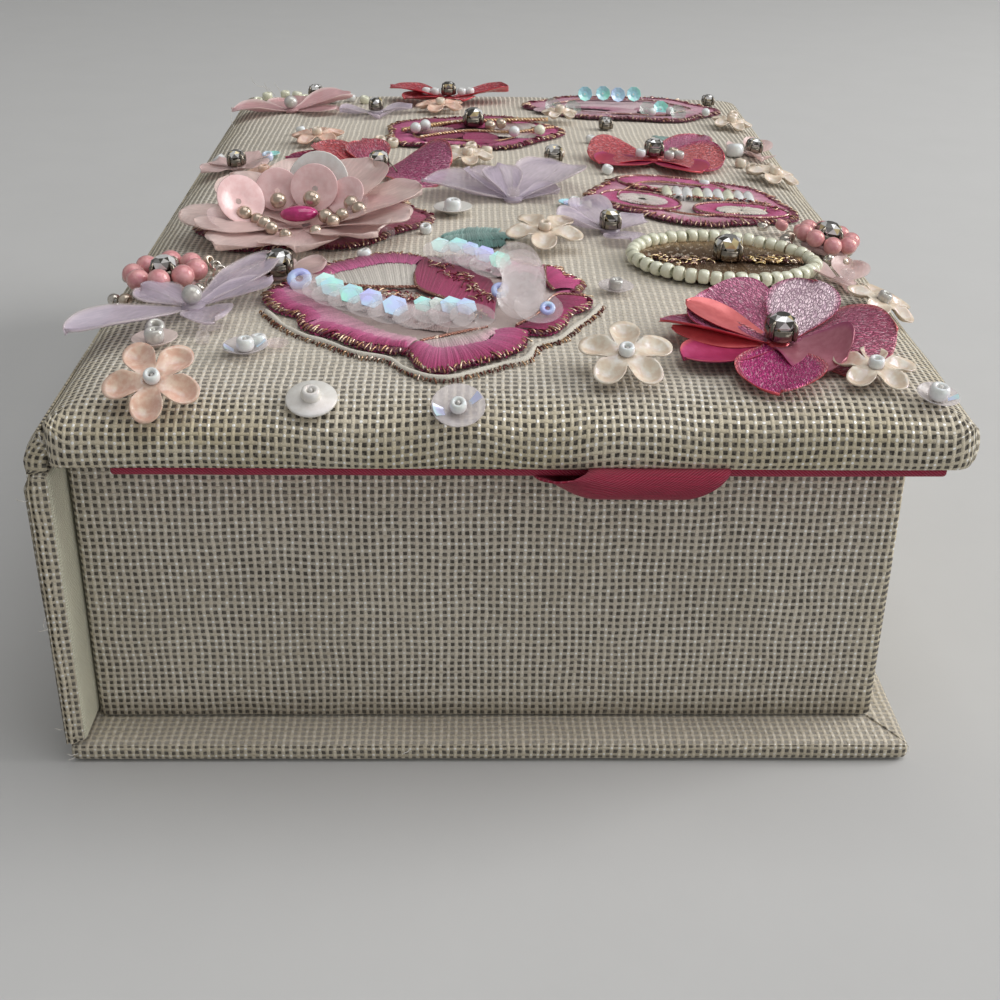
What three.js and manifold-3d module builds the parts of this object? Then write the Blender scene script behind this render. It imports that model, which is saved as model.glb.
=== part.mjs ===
// A cloth-covered keepsake box: a book-shaped case with a hinged, padded lid that is sewn over
// with sequins, beads, satin-stitched flowers and loose film petals.
//
// Frame: millimetres, +Z up, the origin in the middle of the underside. The hinge runs along Y
// on the -X side, and -Y is the front. Every group and mesh stands in this frame unturned.

import * as THREE from 'three';
import { mergeVertices } from 'three/addons/utils/BufferGeometryUtils.js';
import Module from 'manifold-3d';

const wasm = await Module();
wasm.setup();

// Driving dimensions of the case
const CASE_LENGTH = 200;
const CASE_WIDTH = 125;
const BOARD_THICKNESS = 3.0;
const SPINE_THICKNESS = 2.8;
const BOARD_CORNER = 2.0;
const BOARD_SOFTNESS = 1.0;
const SEAM = 0.3;

// Driving dimensions of the tray
const TRAY_HEIGHT = 44.1;
const TRAY_WALL = 2.5;
const TRAY_FLOOR = 2.5;
const END_LIP = 7.0;
const FREE_LIP = 4.4;
const TRAY_CORNER = 1.2;
const RIM_SOFTNESS = 0.5;

// Driving dimensions of the lid, its lining and its ribbon
const LID_OVERHANG = 2.0;
const LINING_THICKNESS = 1.5;
const LINING_HINGE_SETBACK = 9.7;
const LINING_FREE_SETBACK = 3.7;
const LINING_PROUD = 0.5;
const LINING_CORNER = 1.5;
const LID_CORNER = 4.0;
const LID_EDGE_HEIGHT = 3.5;
const LID_PUFF = 4.0;
const LID_PUFF_REACH = 9.0;
const LID_CROWN = 3.5;
const RIBBON_WIDTH = 19.0;
const RIBBON_THICKNESS = 0.4;
const RIBBON_OFFSET = 19.8;
const RIBBON_TUCK = 8.0;
const HINGE_RADIUS = 1.0;
const HINGE_INSET = 2.0;

// Lid that the trimming is laid out for: on a larger lid it spreads, on a smaller one it shrinks
const LAYOUT_WIDTH = 125;
const LAYOUT_LENGTH = 200;

// Driving dimensions of the trimmings
const STITCH_THICKNESS = 0.55;
const STITCH_GAP = 0.3;
const TRIM_GAP = 0.3;
const FILM_THICKNESS = 0.45;
const SHORT_PETAL = 11;
const STONE_DIAMETER = 4.7;
const STONE_HEIGHT = 3.8;
const FLOWER_SEQUIN_DIAMETER = 13.5;
const CUP_SEQUIN_DIAMETER = 7.0;
const SEED_BEAD_DIAMETER = 2.4;
const PEARL_DIAMETER = 3.2;

// Levels and edges that follow from them
const HALF_LENGTH = CASE_LENGTH / 2;
const HALF_WIDTH = CASE_WIDTH / 2;
const TRAY_BOTTOM = BOARD_THICKNESS + SEAM;
const RIM_Z = TRAY_BOTTOM + TRAY_HEIGHT;
const TRAY_LEFT = -HALF_WIDTH + SPINE_THICKNESS + SEAM;
const TRAY_RIGHT = HALF_WIDTH - FREE_LIP;
const TRAY_HALF_LENGTH = HALF_LENGTH - END_LIP;
const LINING_Z = RIM_Z + SEAM;
const LID_Z = LINING_Z + LINING_THICKNESS + SEAM;
const LID_LEFT = -HALF_WIDTH + LID_OVERHANG;
const LID_RIGHT = HALF_WIDTH + LID_OVERHANG;
const LID_CENTRE_X = (LID_LEFT + LID_RIGHT) / 2;
const LID_HALF_WIDTH = (LID_RIGHT - LID_LEFT) / 2;
const LID_WIDEST_Z = LID_Z + LID_EDGE_HEIGHT;
const HINGE_Z = RIM_Z + SEAM + HINGE_RADIUS;
const SPREAD_X = CASE_WIDTH / LAYOUT_WIDTH;
const SPREAD_Y = CASE_LENGTH / LAYOUT_LENGTH;
const TRIM_SCALE = Math.min(1, SPREAD_X, SPREAD_Y);
const OVER_STITCHES = STITCH_GAP + STITCH_THICKNESS;

const DEGREES = Math.PI / 180;

// Height of the padded cloth on the lid at a place in plan
function lidTop(x, y) {
  const across = (x - LID_CENTRE_X) / LID_HALF_WIDTH;
  const along = y / HALF_LENGTH;
  const fromSide = LID_HALF_WIDTH * (1 - Math.abs(across));
  const fromEnd = HALF_LENGTH * (1 - Math.abs(along));
  const inward = THREE.MathUtils.clamp(Math.min(fromSide, fromEnd) / LID_PUFF_REACH, 0, 1);
  const puff = LID_PUFF * Math.sqrt(1 - (1 - inward) ** 2);
  const crown = LID_CROWN * Math.max(0, 1 - across ** 2) * Math.max(0, 1 - along ** 2);
  return LID_WIDEST_Z + puff + crown;
}

// Solids from rings, grids and profiles
function solidFrom(points, triangles) {
  const geometry = new THREE.BufferGeometry();
  geometry.setAttribute('position', new THREE.Float32BufferAttribute(points.flat(), 3));
  geometry.setIndex(triangles);
  return mergeVertices(geometry, 1e-4);
}

// Closed skin over rings of points with equal counts, counter-clockwise from above, bottom first
function loft(rings) {
  const count = rings[0].length;
  const triangles = [];
  for (let level = 0; level + 1 < rings.length; level += 1) {
    for (let i = 0; i < count; i += 1) {
      const a = level * count + i;
      const b = level * count + (i + 1) % count;
      triangles.push(a, b, b + count, a, b + count, a + count);
    }
  }
  const flat = (ring) => ring.map(([x, y]) => new THREE.Vector2(x, y));
  const top = (rings.length - 1) * count;
  for (const [a, b, c] of THREE.ShapeUtils.triangulateShape(flat(rings[0]), [])) {
    triangles.push(a, c, b);
  }
  for (const [a, b, c] of THREE.ShapeUtils.triangulateShape(flat(rings.at(-1)), [])) {
    triangles.push(top + a, top + b, top + c);
  }
  return solidFrom(rings.flat(), triangles);
}

// Thin closed sheet between two grids of points, given row by row and column by column
function sheet(over, under) {
  const rows = over.length;
  const columns = over[0].length;
  const points = [...over.flat(), ...under.flat()];
  const below = rows * columns;
  const at = (row, column) => row * columns + column;
  const triangles = [];
  for (let row = 0; row + 1 < rows; row += 1) {
    for (let column = 0; column + 1 < columns; column += 1) {
      const a = at(row, column);
      const b = at(row, column + 1);
      const c = at(row + 1, column + 1);
      const d = at(row + 1, column);
      triangles.push(a, b, c, a, c, d);
      triangles.push(below + a, below + c, below + b, below + a, below + d, below + c);
    }
  }
  const border = [];
  for (let column = 0; column + 1 < columns; column += 1) border.push(at(0, column));
  for (let row = 0; row + 1 < rows; row += 1) border.push(at(row, columns - 1));
  for (let column = columns - 1; column > 0; column -= 1) border.push(at(rows - 1, column));
  for (let row = rows - 1; row > 0; row -= 1) border.push(at(row, 0));
  border.forEach((a, i) => {
    const b = border[(i + 1) % border.length];
    triangles.push(a, below + a, below + b, a, below + b, b);
  });
  return solidFrom(points, triangles);
}

// Round plate whose outline and heights are functions of the angle and of the ring. Its
// underside repeats the rings below the top, or runs plainly from the outline to the middle.
function roundPlate(sides, shares, thickness, place, plainUnder = false) {
  const over = [];
  for (const share of shares) {
    for (let i = 0; i < sides; i += 1) over.push(place((i / sides) * 2 * Math.PI, share));
  }
  const centre = place(0, 0);
  const lowered = ([x, y, z]) => [x, y, z - thickness];
  const under = (plainUnder ? over.slice(-sides) : over).map(lowered);
  const points = [centre, ...over, lowered(centre), ...under];
  const below = over.length + 1;
  const lastOver = 1 + over.length - sides;
  const lastUnder = below + 1 + under.length - sides;
  const triangles = [];
  for (let i = 0; i < sides; i += 1) {
    const next = (i + 1) % sides;
    triangles.push(0, 1 + i, 1 + next);
    triangles.push(below, below + 1 + next, below + 1 + i);
    for (let ring = 0; ring + 1 < shares.length; ring += 1) {
      const a = 1 + ring * sides + i;
      const b = 1 + ring * sides + next;
      const c = b + sides;
      const d = a + sides;
      triangles.push(a, d, c, a, c, b);
      if (plainUnder) continue;
      triangles.push(below + a, below + c, below + d, below + a, below + b, below + c);
    }
    const a = lastOver + i;
    const b = lastOver + next;
    triangles.push(a, lastUnder + i, lastUnder + next, a, lastUnder + next, b);
  }
  return solidFrom(points, triangles);
}

// Joins and cuts
function toManifold(geometry) {
  const bare = geometry.clone();
  bare.deleteAttribute('normal');
  bare.deleteAttribute('uv');
  const merged = mergeVertices(bare, 1e-4);
  const mesh = new wasm.Mesh({
    numProp: 3,
    vertProperties: new Float32Array(merged.attributes.position.array),
    triVerts: new Uint32Array(merged.index.array),
  });
  return new wasm.Manifold(mesh);
}

function toGeometry(manifold) {
  const mesh = manifold.getMesh();
  const geometry = new THREE.BufferGeometry();
  geometry.setAttribute('position', new THREE.BufferAttribute(mesh.vertProperties, 3));
  geometry.setIndex(new THREE.BufferAttribute(mesh.triVerts, 1));
  return geometry;
}

function fuse(geometries) {
  const [first, ...others] = geometries.map(toManifold);
  return toGeometry(others.reduce((whole, next) => whole.add(next), first));
}

function cut(geometry, tool) {
  return toGeometry(toManifold(geometry).subtract(toManifold(tool)));
}

// Rectangle with rounded corners and split sides, counter-clockwise, as points in plan
function roundedRing(halfX, halfY, radius, splitX, splitY, centreX = 0) {
  const cornerSteps = 2;
  const corner = Math.min(radius, halfX, halfY);
  const points = [];
  const corners = [[1, 1], [-1, 1], [-1, -1], [1, -1]];
  corners.forEach(([sx, sy], quarter) => {
    const cx = centreX + sx * (halfX - corner);
    const cy = sy * (halfY - corner);
    for (let i = 0; i <= cornerSteps; i += 1) {
      const angle = (quarter + i / cornerSteps) * (Math.PI / 2);
      points.push([cx + corner * Math.cos(angle), cy + corner * Math.sin(angle)]);
    }
    const [nx, ny] = corners[(quarter + 1) % 4];
    const start = points.at(-1);
    const splits = quarter % 2 === 0 ? splitX : splitY;
    const endX = quarter % 2 === 0 ? centreX + nx * (halfX - corner) : start[0];
    const endY = quarter % 2 === 0 ? start[1] : ny * (halfY - corner);
    for (let i = 1; i < splits; i += 1) {
      const share = i / splits;
      points.push([start[0] + (endX - start[0]) * share, start[1] + (endY - start[1]) * share]);
    }
  });
  return points;
}

// Covered board with softly rounded edges, its underside at z = 0
function softBoard(width, length, thickness, cornerRadius, softness) {
  const steps = [[1, 0], [0, 1]];
  const levels = [
    ...steps.map(([inset, height]) => [inset * softness, height * softness]),
    ...steps.map(([inset, height]) => [inset * softness, thickness - height * softness]).reverse(),
  ];
  return loft(levels.map(([inset, z]) => {
    const ring = roundedRing(width / 2 - inset, length / 2 - inset, cornerRadius, 1, 1);
    return ring.map(([x, y]) => [x, y, z]);
  }));
}

function makeBottomBoard() {
  return softBoard(CASE_WIDTH, CASE_LENGTH, BOARD_THICKNESS, BOARD_CORNER, BOARD_SOFTNESS);
}

function makeSpineBoard() {
  const board = softBoard(TRAY_HEIGHT, CASE_LENGTH, SPINE_THICKNESS, BOARD_CORNER, BOARD_SOFTNESS);
  board.rotateY(-Math.PI / 2);
  board.translate(-HALF_WIDTH + SPINE_THICKNESS, 0, TRAY_BOTTOM + TRAY_HEIGHT / 2);
  return board;
}

function makeTray() {
  const width = TRAY_RIGHT - TRAY_LEFT;
  const centre = (TRAY_RIGHT + TRAY_LEFT) / 2;
  const ring = (inset, corner, z) => roundedRing(
    width / 2 - inset, TRAY_HALF_LENGTH - inset, corner, 1, 1, centre,
  ).map(([x, y]) => [x, y, z]);
  const outside = loft([
    ring(0, TRAY_CORNER, TRAY_BOTTOM),
    ring(0, TRAY_CORNER, RIM_Z - RIM_SOFTNESS),
    ring(RIM_SOFTNESS, TRAY_CORNER, RIM_Z),
  ]);
  const inside = loft([
    ring(TRAY_WALL, TRAY_CORNER / 2, TRAY_BOTTOM + TRAY_FLOOR),
    ring(TRAY_WALL, TRAY_CORNER / 2, RIM_Z + TRAY_WALL),
  ]);
  return cut(outside, inside);
}

// Roll of cloth along the hinge axis, over the spine's top edge
function makeHingeCloth() {
  const sides = 10;
  const shape = new THREE.Shape();
  for (let i = 0; i < sides; i += 1) {
    const angle = (i / sides) * 2 * Math.PI;
    const x = HINGE_RADIUS * Math.cos(angle);
    const y = HINGE_RADIUS * Math.sin(angle);
    if (i === 0) shape.moveTo(x, y);
    else shape.lineTo(x, y);
  }
  const length = CASE_LENGTH - 2 * HINGE_INSET;
  const roll = new THREE.ExtrudeGeometry(shape, { depth: length, bevelEnabled: false });
  roll.rotateX(Math.PI / 2);
  roll.translate(-HALF_WIDTH, length / 2, HINGE_Z);
  return roll;
}

// Padded lid: a soft edge, then rings that climb the crown
function makeLid() {
  const splitX = 3;
  const splitY = 5;
  const ring = (inset, height) => roundedRing(
    LID_HALF_WIDTH - inset, HALF_LENGTH - inset, Math.max(LID_CORNER - inset / 2, 1),
    splitX, splitY, LID_CENTRE_X,
  ).map(([x, y]) => [x, y, height === null ? lidTop(x, y) : height]);
  const edge = [[1.3, 0], [0.4, 0.25], [0, 0.6], [0, 1]];
  const rings = edge.map(([inset, share]) => ring(inset, LID_Z + share * LID_EDGE_HEIGHT));
  const climb = [0.1, 0.35, 1, 2.4, 4.6];
  for (const share of climb) rings.push(ring(share * LID_PUFF_REACH, null));
  return loft(rings);
}

// Thin covered board under the lid, with a shallow seat for the ribbon's tucked end
function makeLidLining() {
  const left = LID_LEFT + LINING_HINGE_SETBACK - 2 * SEAM;
  const right = LID_RIGHT - LINING_FREE_SETBACK;
  const width = right - left;
  const length = CASE_LENGTH + 2 * LINING_PROUD;
  const softness = LINING_THICKNESS / 3;
  const board = softBoard(width, length, LINING_THICKNESS, LINING_CORNER, softness);
  board.translate((left + right) / 2, 0, LINING_Z);
  const seatDepth = RIBBON_THICKNESS + SEAM;
  const seatLength = RIBBON_TUCK + LINING_PROUD + SEAM;
  const seat = new THREE.BoxGeometry(RIBBON_WIDTH + 4 * SEAM, 2 * seatLength, 2 * seatDepth);
  seat.translate(
    LID_CENTRE_X + RIBBON_OFFSET, -HALF_LENGTH - LINING_PROUD, LINING_Z + LINING_THICKNESS,
  );
  return cut(board, seat);
}

// Satin ribbon that comes out under the lid, droops and curls back, slipping to one side
function makeRibbonTab() {
  const front = -HALF_LENGTH - LINING_PROUD;
  const top = LINING_Z + LINING_THICKNESS - RIBBON_THICKNESS / 2;
  const path = [
    [0, front + RIBBON_TUCK, top, 1],
    [0, front - 0.3, top, 1],
    [-0.5, front - 1.7, top - 0.5, 1],
    [-2.2, front - 2.3, top - 1.8, 1],
    [-4.6, front - 1.9, top - 3.1, 0.98],
    [-7.0, front - 0.6, top - 3.9, 0.94],
    [-8.8, front + 1.4, top - 3.9, 0.86],
    [-10.2, front + 3.6, top - 3.2, 0.7],
    [-11.2, front + 5.4, top - 2.4, 0.45],
  ];
  const over = [];
  const under = [];
  path.forEach(([slip, y, z, share], i) => {
    const before = path[Math.max(i - 1, 0)];
    const after = path[Math.min(i + 1, path.length - 1)];
    const along = new THREE.Vector2(after[1] - before[1], after[2] - before[2]).normalize();
    const half = (RIBBON_WIDTH / 2) * share;
    const raise = RIBBON_THICKNESS / 2;
    const row = (sign) => [1, -1].map((side) => [
      LID_CENTRE_X + RIBBON_OFFSET + slip + side * half,
      y + sign * raise * along.y,
      z - sign * raise * along.x,
    ]);
    over.push(row(1));
    under.push(row(-1));
  });
  return sheet(over, under);
}

// Trimmings. Places are counted from the middle of the lid, and each piece is made round its
// own middle at z = 0, then laid on the cloth.

function onLid(x, y) {
  return [LID_CENTRE_X + x * SPREAD_X, y * SPREAD_Y];
}

// Turns a piece so that its +Z is the cloth's normal at its place, and sets it at a height
function layOnCloth(geometry, x, y, lift) {
  const [placeX, placeY] = onLid(x, y);
  const step = 1.0;
  const slopeX = (lidTop(placeX + step, placeY) - lidTop(placeX - step, placeY)) / (2 * step);
  const slopeY = (lidTop(placeX, placeY + step) - lidTop(placeX, placeY - step)) / (2 * step);
  const normal = new THREE.Vector3(-slopeX, -slopeY, 1).normalize();
  const turn = new THREE.Quaternion().setFromUnitVectors(new THREE.Vector3(0, 0, 1), normal);
  geometry.scale(TRIM_SCALE, TRIM_SCALE, TRIM_SCALE);
  geometry.applyQuaternion(turn);
  geometry.translate(
    placeX + normal.x * lift, placeY + normal.y * lift, lidTop(placeX, placeY) + normal.z * lift,
  );
  return geometry;
}

// Point of a flat motif: its middle on the lid, then a step within it, turned by its lean
function onMotif({ x, y, turn }, stepX, stepY) {
  const [placeX, placeY] = onLid(x, y);
  const lean = turn * DEGREES;
  return [
    placeX + TRIM_SCALE * (stepX * Math.cos(lean) - stepY * Math.sin(lean)),
    placeY + TRIM_SCALE * (stepX * Math.sin(lean) + stepY * Math.cos(lean)),
  ];
}

// Round solid from a half profile of [radius, height] pairs that starts and ends on the axis
function turned(profile, sides) {
  const points = profile.map(([radius, height]) => new THREE.Vector2(radius, height));
  const solid = new THREE.LatheGeometry(points, sides);
  solid.rotateX(Math.PI / 2);
  return solid;
}

function bead(diameter) {
  const radius = diameter / 2;
  const profile = [[0, 0], [0.85, 0.4], [0.95, 1.25], [0, 1.85]];
  return turned(profile.map(([r, z]) => [r * radius, z * radius]), 6);
}

function stone() {
  const radius = STONE_DIAMETER / 2;
  const profile = [[0, 0], [0.8, 0], [1, 0.6], [0.6, 1], [0, 1]];
  return turned(profile.map(([r, z]) => [r * radius, z * STONE_HEIGHT]), 8);
}

// Film petal that leaves the middle at an azimuth: length, width, rise in degrees, cup and curl
function petal({ azimuth, length, width, rise, cup, curl, fine }) {
  const root = 0.8;
  const coarse = length < SHORT_PETAL ? [0.3, 1, 0.4] : [0.22, 0.86, 0.96, 0.34];
  const outline = fine ? [0.22, 0.74, 1, 0.86, 0.34] : coarse;
  const climb = Math.tan(rise * DEGREES);
  const under = outline.map((share, i) => {
    const way = i / (outline.length - 1);
    const along = root + (length - root) * way;
    const half = (width / 2) * share;
    const middle = along * climb + curl * length * way ** 2;
    return [1, 0, -1].map((side) => [along, side * half, middle + cup * half * Math.abs(side)]);
  });
  const over = under.map((row) => row.map(([x, y, z]) => [x, y, z + FILM_THICKNESS]));
  const blade = sheet(over, under);
  blade.rotateZ(azimuth * DEGREES);
  return blade;
}

// Flower of separate film petals on a small round hub, with a stone or a bead on top
function petalFlower({ petals, middle, fine = false }) {
  const hub = turned([[0, -0.1], [2.2, -0.1], [2.2, 0.9], [0, 0.9]], 8);
  const blades = petals.map(([azimuth, length, width, rise, cup, curl]) => (
    petal({ azimuth, length, width, rise, cup, curl, fine })
  ));
  const top = middle();
  top.translate(0, 0, 0.6);
  return fuse([hub, ...blades, top]);
}

// Moulded sequin with five spoon-shaped petals and a bead in the middle
function flowerSequin(diameter, turn) {
  const radius = diameter / 2;
  const sides = 15;
  const waist = 0.42;
  const rim = [{ reach: 0.4, z: 1.1, skew: 0 }, { reach: 0.94, z: 0.7, skew: -4 },
    { reach: 0.94, z: 0.7, skew: 4 }];
  const plate = roundPlate(sides, [waist, 1], FILM_THICKNESS, (angle, share) => {
    const kind = rim[Math.round((angle / (2 * Math.PI)) * sides) % rim.length];
    const atRim = share === 1;
    const reach = radius * (atRim ? kind.reach : share);
    const direction = angle + (turn + (atRim ? kind.skew : 0)) * DEGREES;
    const dished = share === 0 ? 0.9 : 1.3;
    return [
      reach * Math.cos(direction), reach * Math.sin(direction), atRim ? kind.z : dished,
    ];
  }, true);
  const middle = bead(SEED_BEAD_DIAMETER);
  middle.translate(0, 0, 0.7);
  return fuse([plate, middle]);
}

// Round cup sequin held by a bead
function cupSequin(diameter, beadDiameter) {
  const radius = diameter / 2;
  const height = 0.16 * diameter;
  const beadRadius = beadDiameter / 2;
  return turned([
    [0, 0], [radius * 0.4, 0], [radius, height], [radius * 0.42, FILM_THICKNESS],
    [beadRadius * 0.7, FILM_THICKNESS + beadRadius * 0.3],
    [beadRadius, FILM_THICKNESS + beadRadius * 1.2], [0, FILM_THICKNESS + beadRadius * 1.9],
  ], 8);
}

// Ring of pearls round a stone
function pearlCluster(count, ringRadius) {
  const base = turned([[0, 0], [ringRadius, 0], [ringRadius, 1.0], [0, 1.0]], 12);
  const parts = [base];
  for (let i = 0; i < count; i += 1) {
    const angle = (i / count) * 2 * Math.PI;
    const pearl = bead(PEARL_DIAMETER);
    pearl.translate(ringRadius * Math.cos(angle), ringRadius * Math.sin(angle), 0);
    parts.push(pearl);
  }
  const middle = stone();
  middle.translate(0, 0, 0.8);
  return fuse([...parts, middle]);
}

// Satin-stitched patch that follows the cloth, inside a lobed oval
function stitchedPatch({ reachX, reachY, lobes, depth, phase, sides, ...middle }) {
  return roundPlate(sides, [0.55, 1], STITCH_THICKNESS, (angle, share) => {
    const lobe = 1 - depth + depth * Math.cos(lobes * angle + phase * DEGREES);
    const [x, y] = onMotif(
      middle, reachX * lobe * share * Math.cos(angle), reachY * lobe * share * Math.sin(angle),
    );
    return [x, y, lidTop(x, y) + OVER_STITCHES];
  });
}

// Oval of metal thread inside a raised ring of seed beads, with a stone
function goldOval({ reachX, reachY, ...middle }) {
  const shares = [0.82, 0.87, 0.97, 1];
  const raised = [false, true, true, false];
  const plate = roundPlate(20, shares, STITCH_THICKNESS, (angle, share) => {
    const [x, y] = onMotif(
      middle, reachX * share * Math.cos(angle), reachY * share * Math.sin(angle),
    );
    const rim = raised[shares.indexOf(share)] ? SEED_BEAD_DIAMETER - STITCH_THICKNESS : 0;
    return [x, y, lidTop(x, y) + OVER_STITCHES + rim * TRIM_SCALE];
  });
  return fuse([plate, layOnCloth(stone(), middle.x, middle.y, STITCH_GAP + STITCH_THICKNESS / 2)]);
}

// Small leaf of satin stitch, narrow at both ends
function stitchedLeaf({ length, width, ...middle }) {
  const rows = 5;
  const tip = 0.12;
  const over = [];
  for (let i = 0; i <= rows; i += 1) {
    const half = (width / 2) * Math.max(Math.sin((Math.PI * i) / rows), tip);
    const along = (i / rows - 0.5) * length;
    over.push([1, 0, -1].map((side) => {
      const [x, y] = onMotif(middle, along, side * half);
      return [x, y, lidTop(x, y) + OVER_STITCHES];
    }));
  }
  const under = over.map((row) => row.map(([x, y, z]) => [x, y, z - STITCH_THICKNESS]));
  return sheet(over, under);
}

// Colours and finishes, a fresh material for each mesh
const finish = (color, roughness, metalness) => () => (
  new THREE.MeshStandardMaterial({ color, roughness, metalness })
);
const boxCloth = finish(0xb5ad9c, 0.8, 0.1);
const magentaCloth = finish(0x96204e, 0.5, 0);
const peachSequin = finish(0xe6c3ae, 0.3, 0);
const clearSequin = finish(0xe8e4e6, 0.15, 0);
const foil = finish(0xc44a78, 0.35, 0.5);
const film = finish(0xdcc4cc, 0.25, 0);
const satinThread = finish(0xc2417c, 0.45, 0);
const leafThread = finish(0x6f9a8c, 0.5, 0);
const metalThread = finish(0x9c8154, 0.4, 0.7);
const pinkPearl = finish(0xd9a3a0, 0.25, 0.1);
const crystal = finish(0x8f8a80, 0.1, 0.4);

const group = new THREE.Group();

function add(name, geometry, material) {
  const mesh = new THREE.Mesh(geometry, material());
  mesh.name = name;
  group.add(mesh);
}

add('bottom_board', makeBottomBoard(), boxCloth);
add('spine_board', makeSpineBoard(), boxCloth);
add('tray', makeTray(), boxCloth);
add('hinge_cloth', makeHingeCloth(), boxCloth);
add('lid', makeLid(), boxCloth);
add('lid_lining', makeLidLining(), magentaCloth);
add('ribbon_tab', makeRibbonTab(), magentaCloth);

// Satin-stitched flowers lie flat on the cloth
const patches = {
  embroidered_flower_front: {
    x: -11.6, y: -68, reachX: 24.6, reachY: 24, turn: 0, lobes: 6, depth: 0.07, phase: 40,
    sides: 24,
  },
  embroidered_flower_right: {
    x: 36, y: -8.5, reachX: 20.5, reachY: 16, turn: -6, lobes: 5, depth: 0.06, phase: 90,
    sides: 16,
  },
  embroidered_flower_mid: {
    x: -5, y: 43, reachX: 20.5, reachY: 18, turn: 6, lobes: 5, depth: 0.07, phase: 20,
    sides: 16,
  },
  embroidered_flower_back: {
    x: 31, y: 76, reachX: 24, reachY: 16, turn: 0, lobes: 6, depth: 0.06, phase: 0,
    sides: 16,
  },
  embroidered_flower_left: {
    x: -33, y: -24, reachX: 21.5, reachY: 17, turn: 4, lobes: 6, depth: 0.07, phase: 60,
    sides: 16,
  },
};
for (const [name, patch] of Object.entries(patches)) add(name, stitchedPatch(patch), satinThread);

const goldMotif = { x: 36.3, y: -44.5, reachX: 15.6, reachY: 11.8, turn: 3 };
add('gold_oval_motif', goldOval(goldMotif), metalThread);

const leaves = {
  embroidered_leaf_mid: { x: -3.5, y: -34.5, length: 14.5, width: 9, turn: 8 },
  embroidered_leaf_right: { x: 41.6, y: 40.5, length: 15, width: 5.5, turn: -28 },
};
for (const [name, leaf] of Object.entries(leaves)) add(name, stitchedLeaf(leaf), leafThread);

// Moulded five-petal sequins: x, y, size, turn in degrees, tip to the front in degrees, and
// the height of the stitching beneath
const flowerSequins = [
  [-47.3, -95.2, 1, -23, 18, 0],
  [15.8, -88.8, 1, 18, 18, 0],
  [7.0, -38.2, 1, 50, 8, OVER_STITCHES],
  [50.2, -89.5, 0.88, 10, 8, 0],
  [58.3, -60.0, 0.88, 30, 6, 0],
  [55.4, 13.3, 0.82, 40, 4, 0],
  [54.6, 60.0, 0.74, 0, 4, 0],
  [-38.0, 38.0, 0.88, 20, 4, 0],
  [-5.8, 15.6, 0.78, 60, 4, 0],
  [-45.5, 7.5, 0.67, 10, 4, 0],
  [-12.2, 69.6, 0.88, 36, 4, 0],
  [15.0, 57.0, 0.63, 24, 4, OVER_STITCHES],
];
flowerSequins.forEach(([x, y, size, turn, tip, beneath], i) => {
  const diameter = FLOWER_SEQUIN_DIAMETER * size;
  const sequin = flowerSequin(diameter, turn);
  sequin.rotateX(tip * DEGREES);
  const lift = TRIM_GAP + beneath + (diameter / 2) * Math.sin(tip * DEGREES);
  add(`peach_sequin_flower_${i + 1}`, layOnCloth(sequin, x, y, lift), peachSequin);
});

// Cup sequins: x, y, size, bead size
const cupSequins = [
  [-26.6, -96.2, 1, 1.15],
  [-7.1, -97.6, 1.04, 1],
  [-37.2, -81.8, 0.93, 1.1],
  [57.4, -95.2, 0.84, 1.2],
  [-50.6, -78.4, 0.95, 1.25],
  [17.2, -58.8, 0.8, 1],
  [-8.5, -20.4, 1, 1.3],
  [13.5, -16, 0.6, 0.9],
];
cupSequins.forEach(([x, y, size, beadSize], i) => {
  const sequin = cupSequin(CUP_SEQUIN_DIAMETER * size, SEED_BEAD_DIAMETER * beadSize);
  add(`cup_sequin_${i + 1}`, layOnCloth(sequin, x, y, TRIM_GAP), clearSequin);
});

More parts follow.
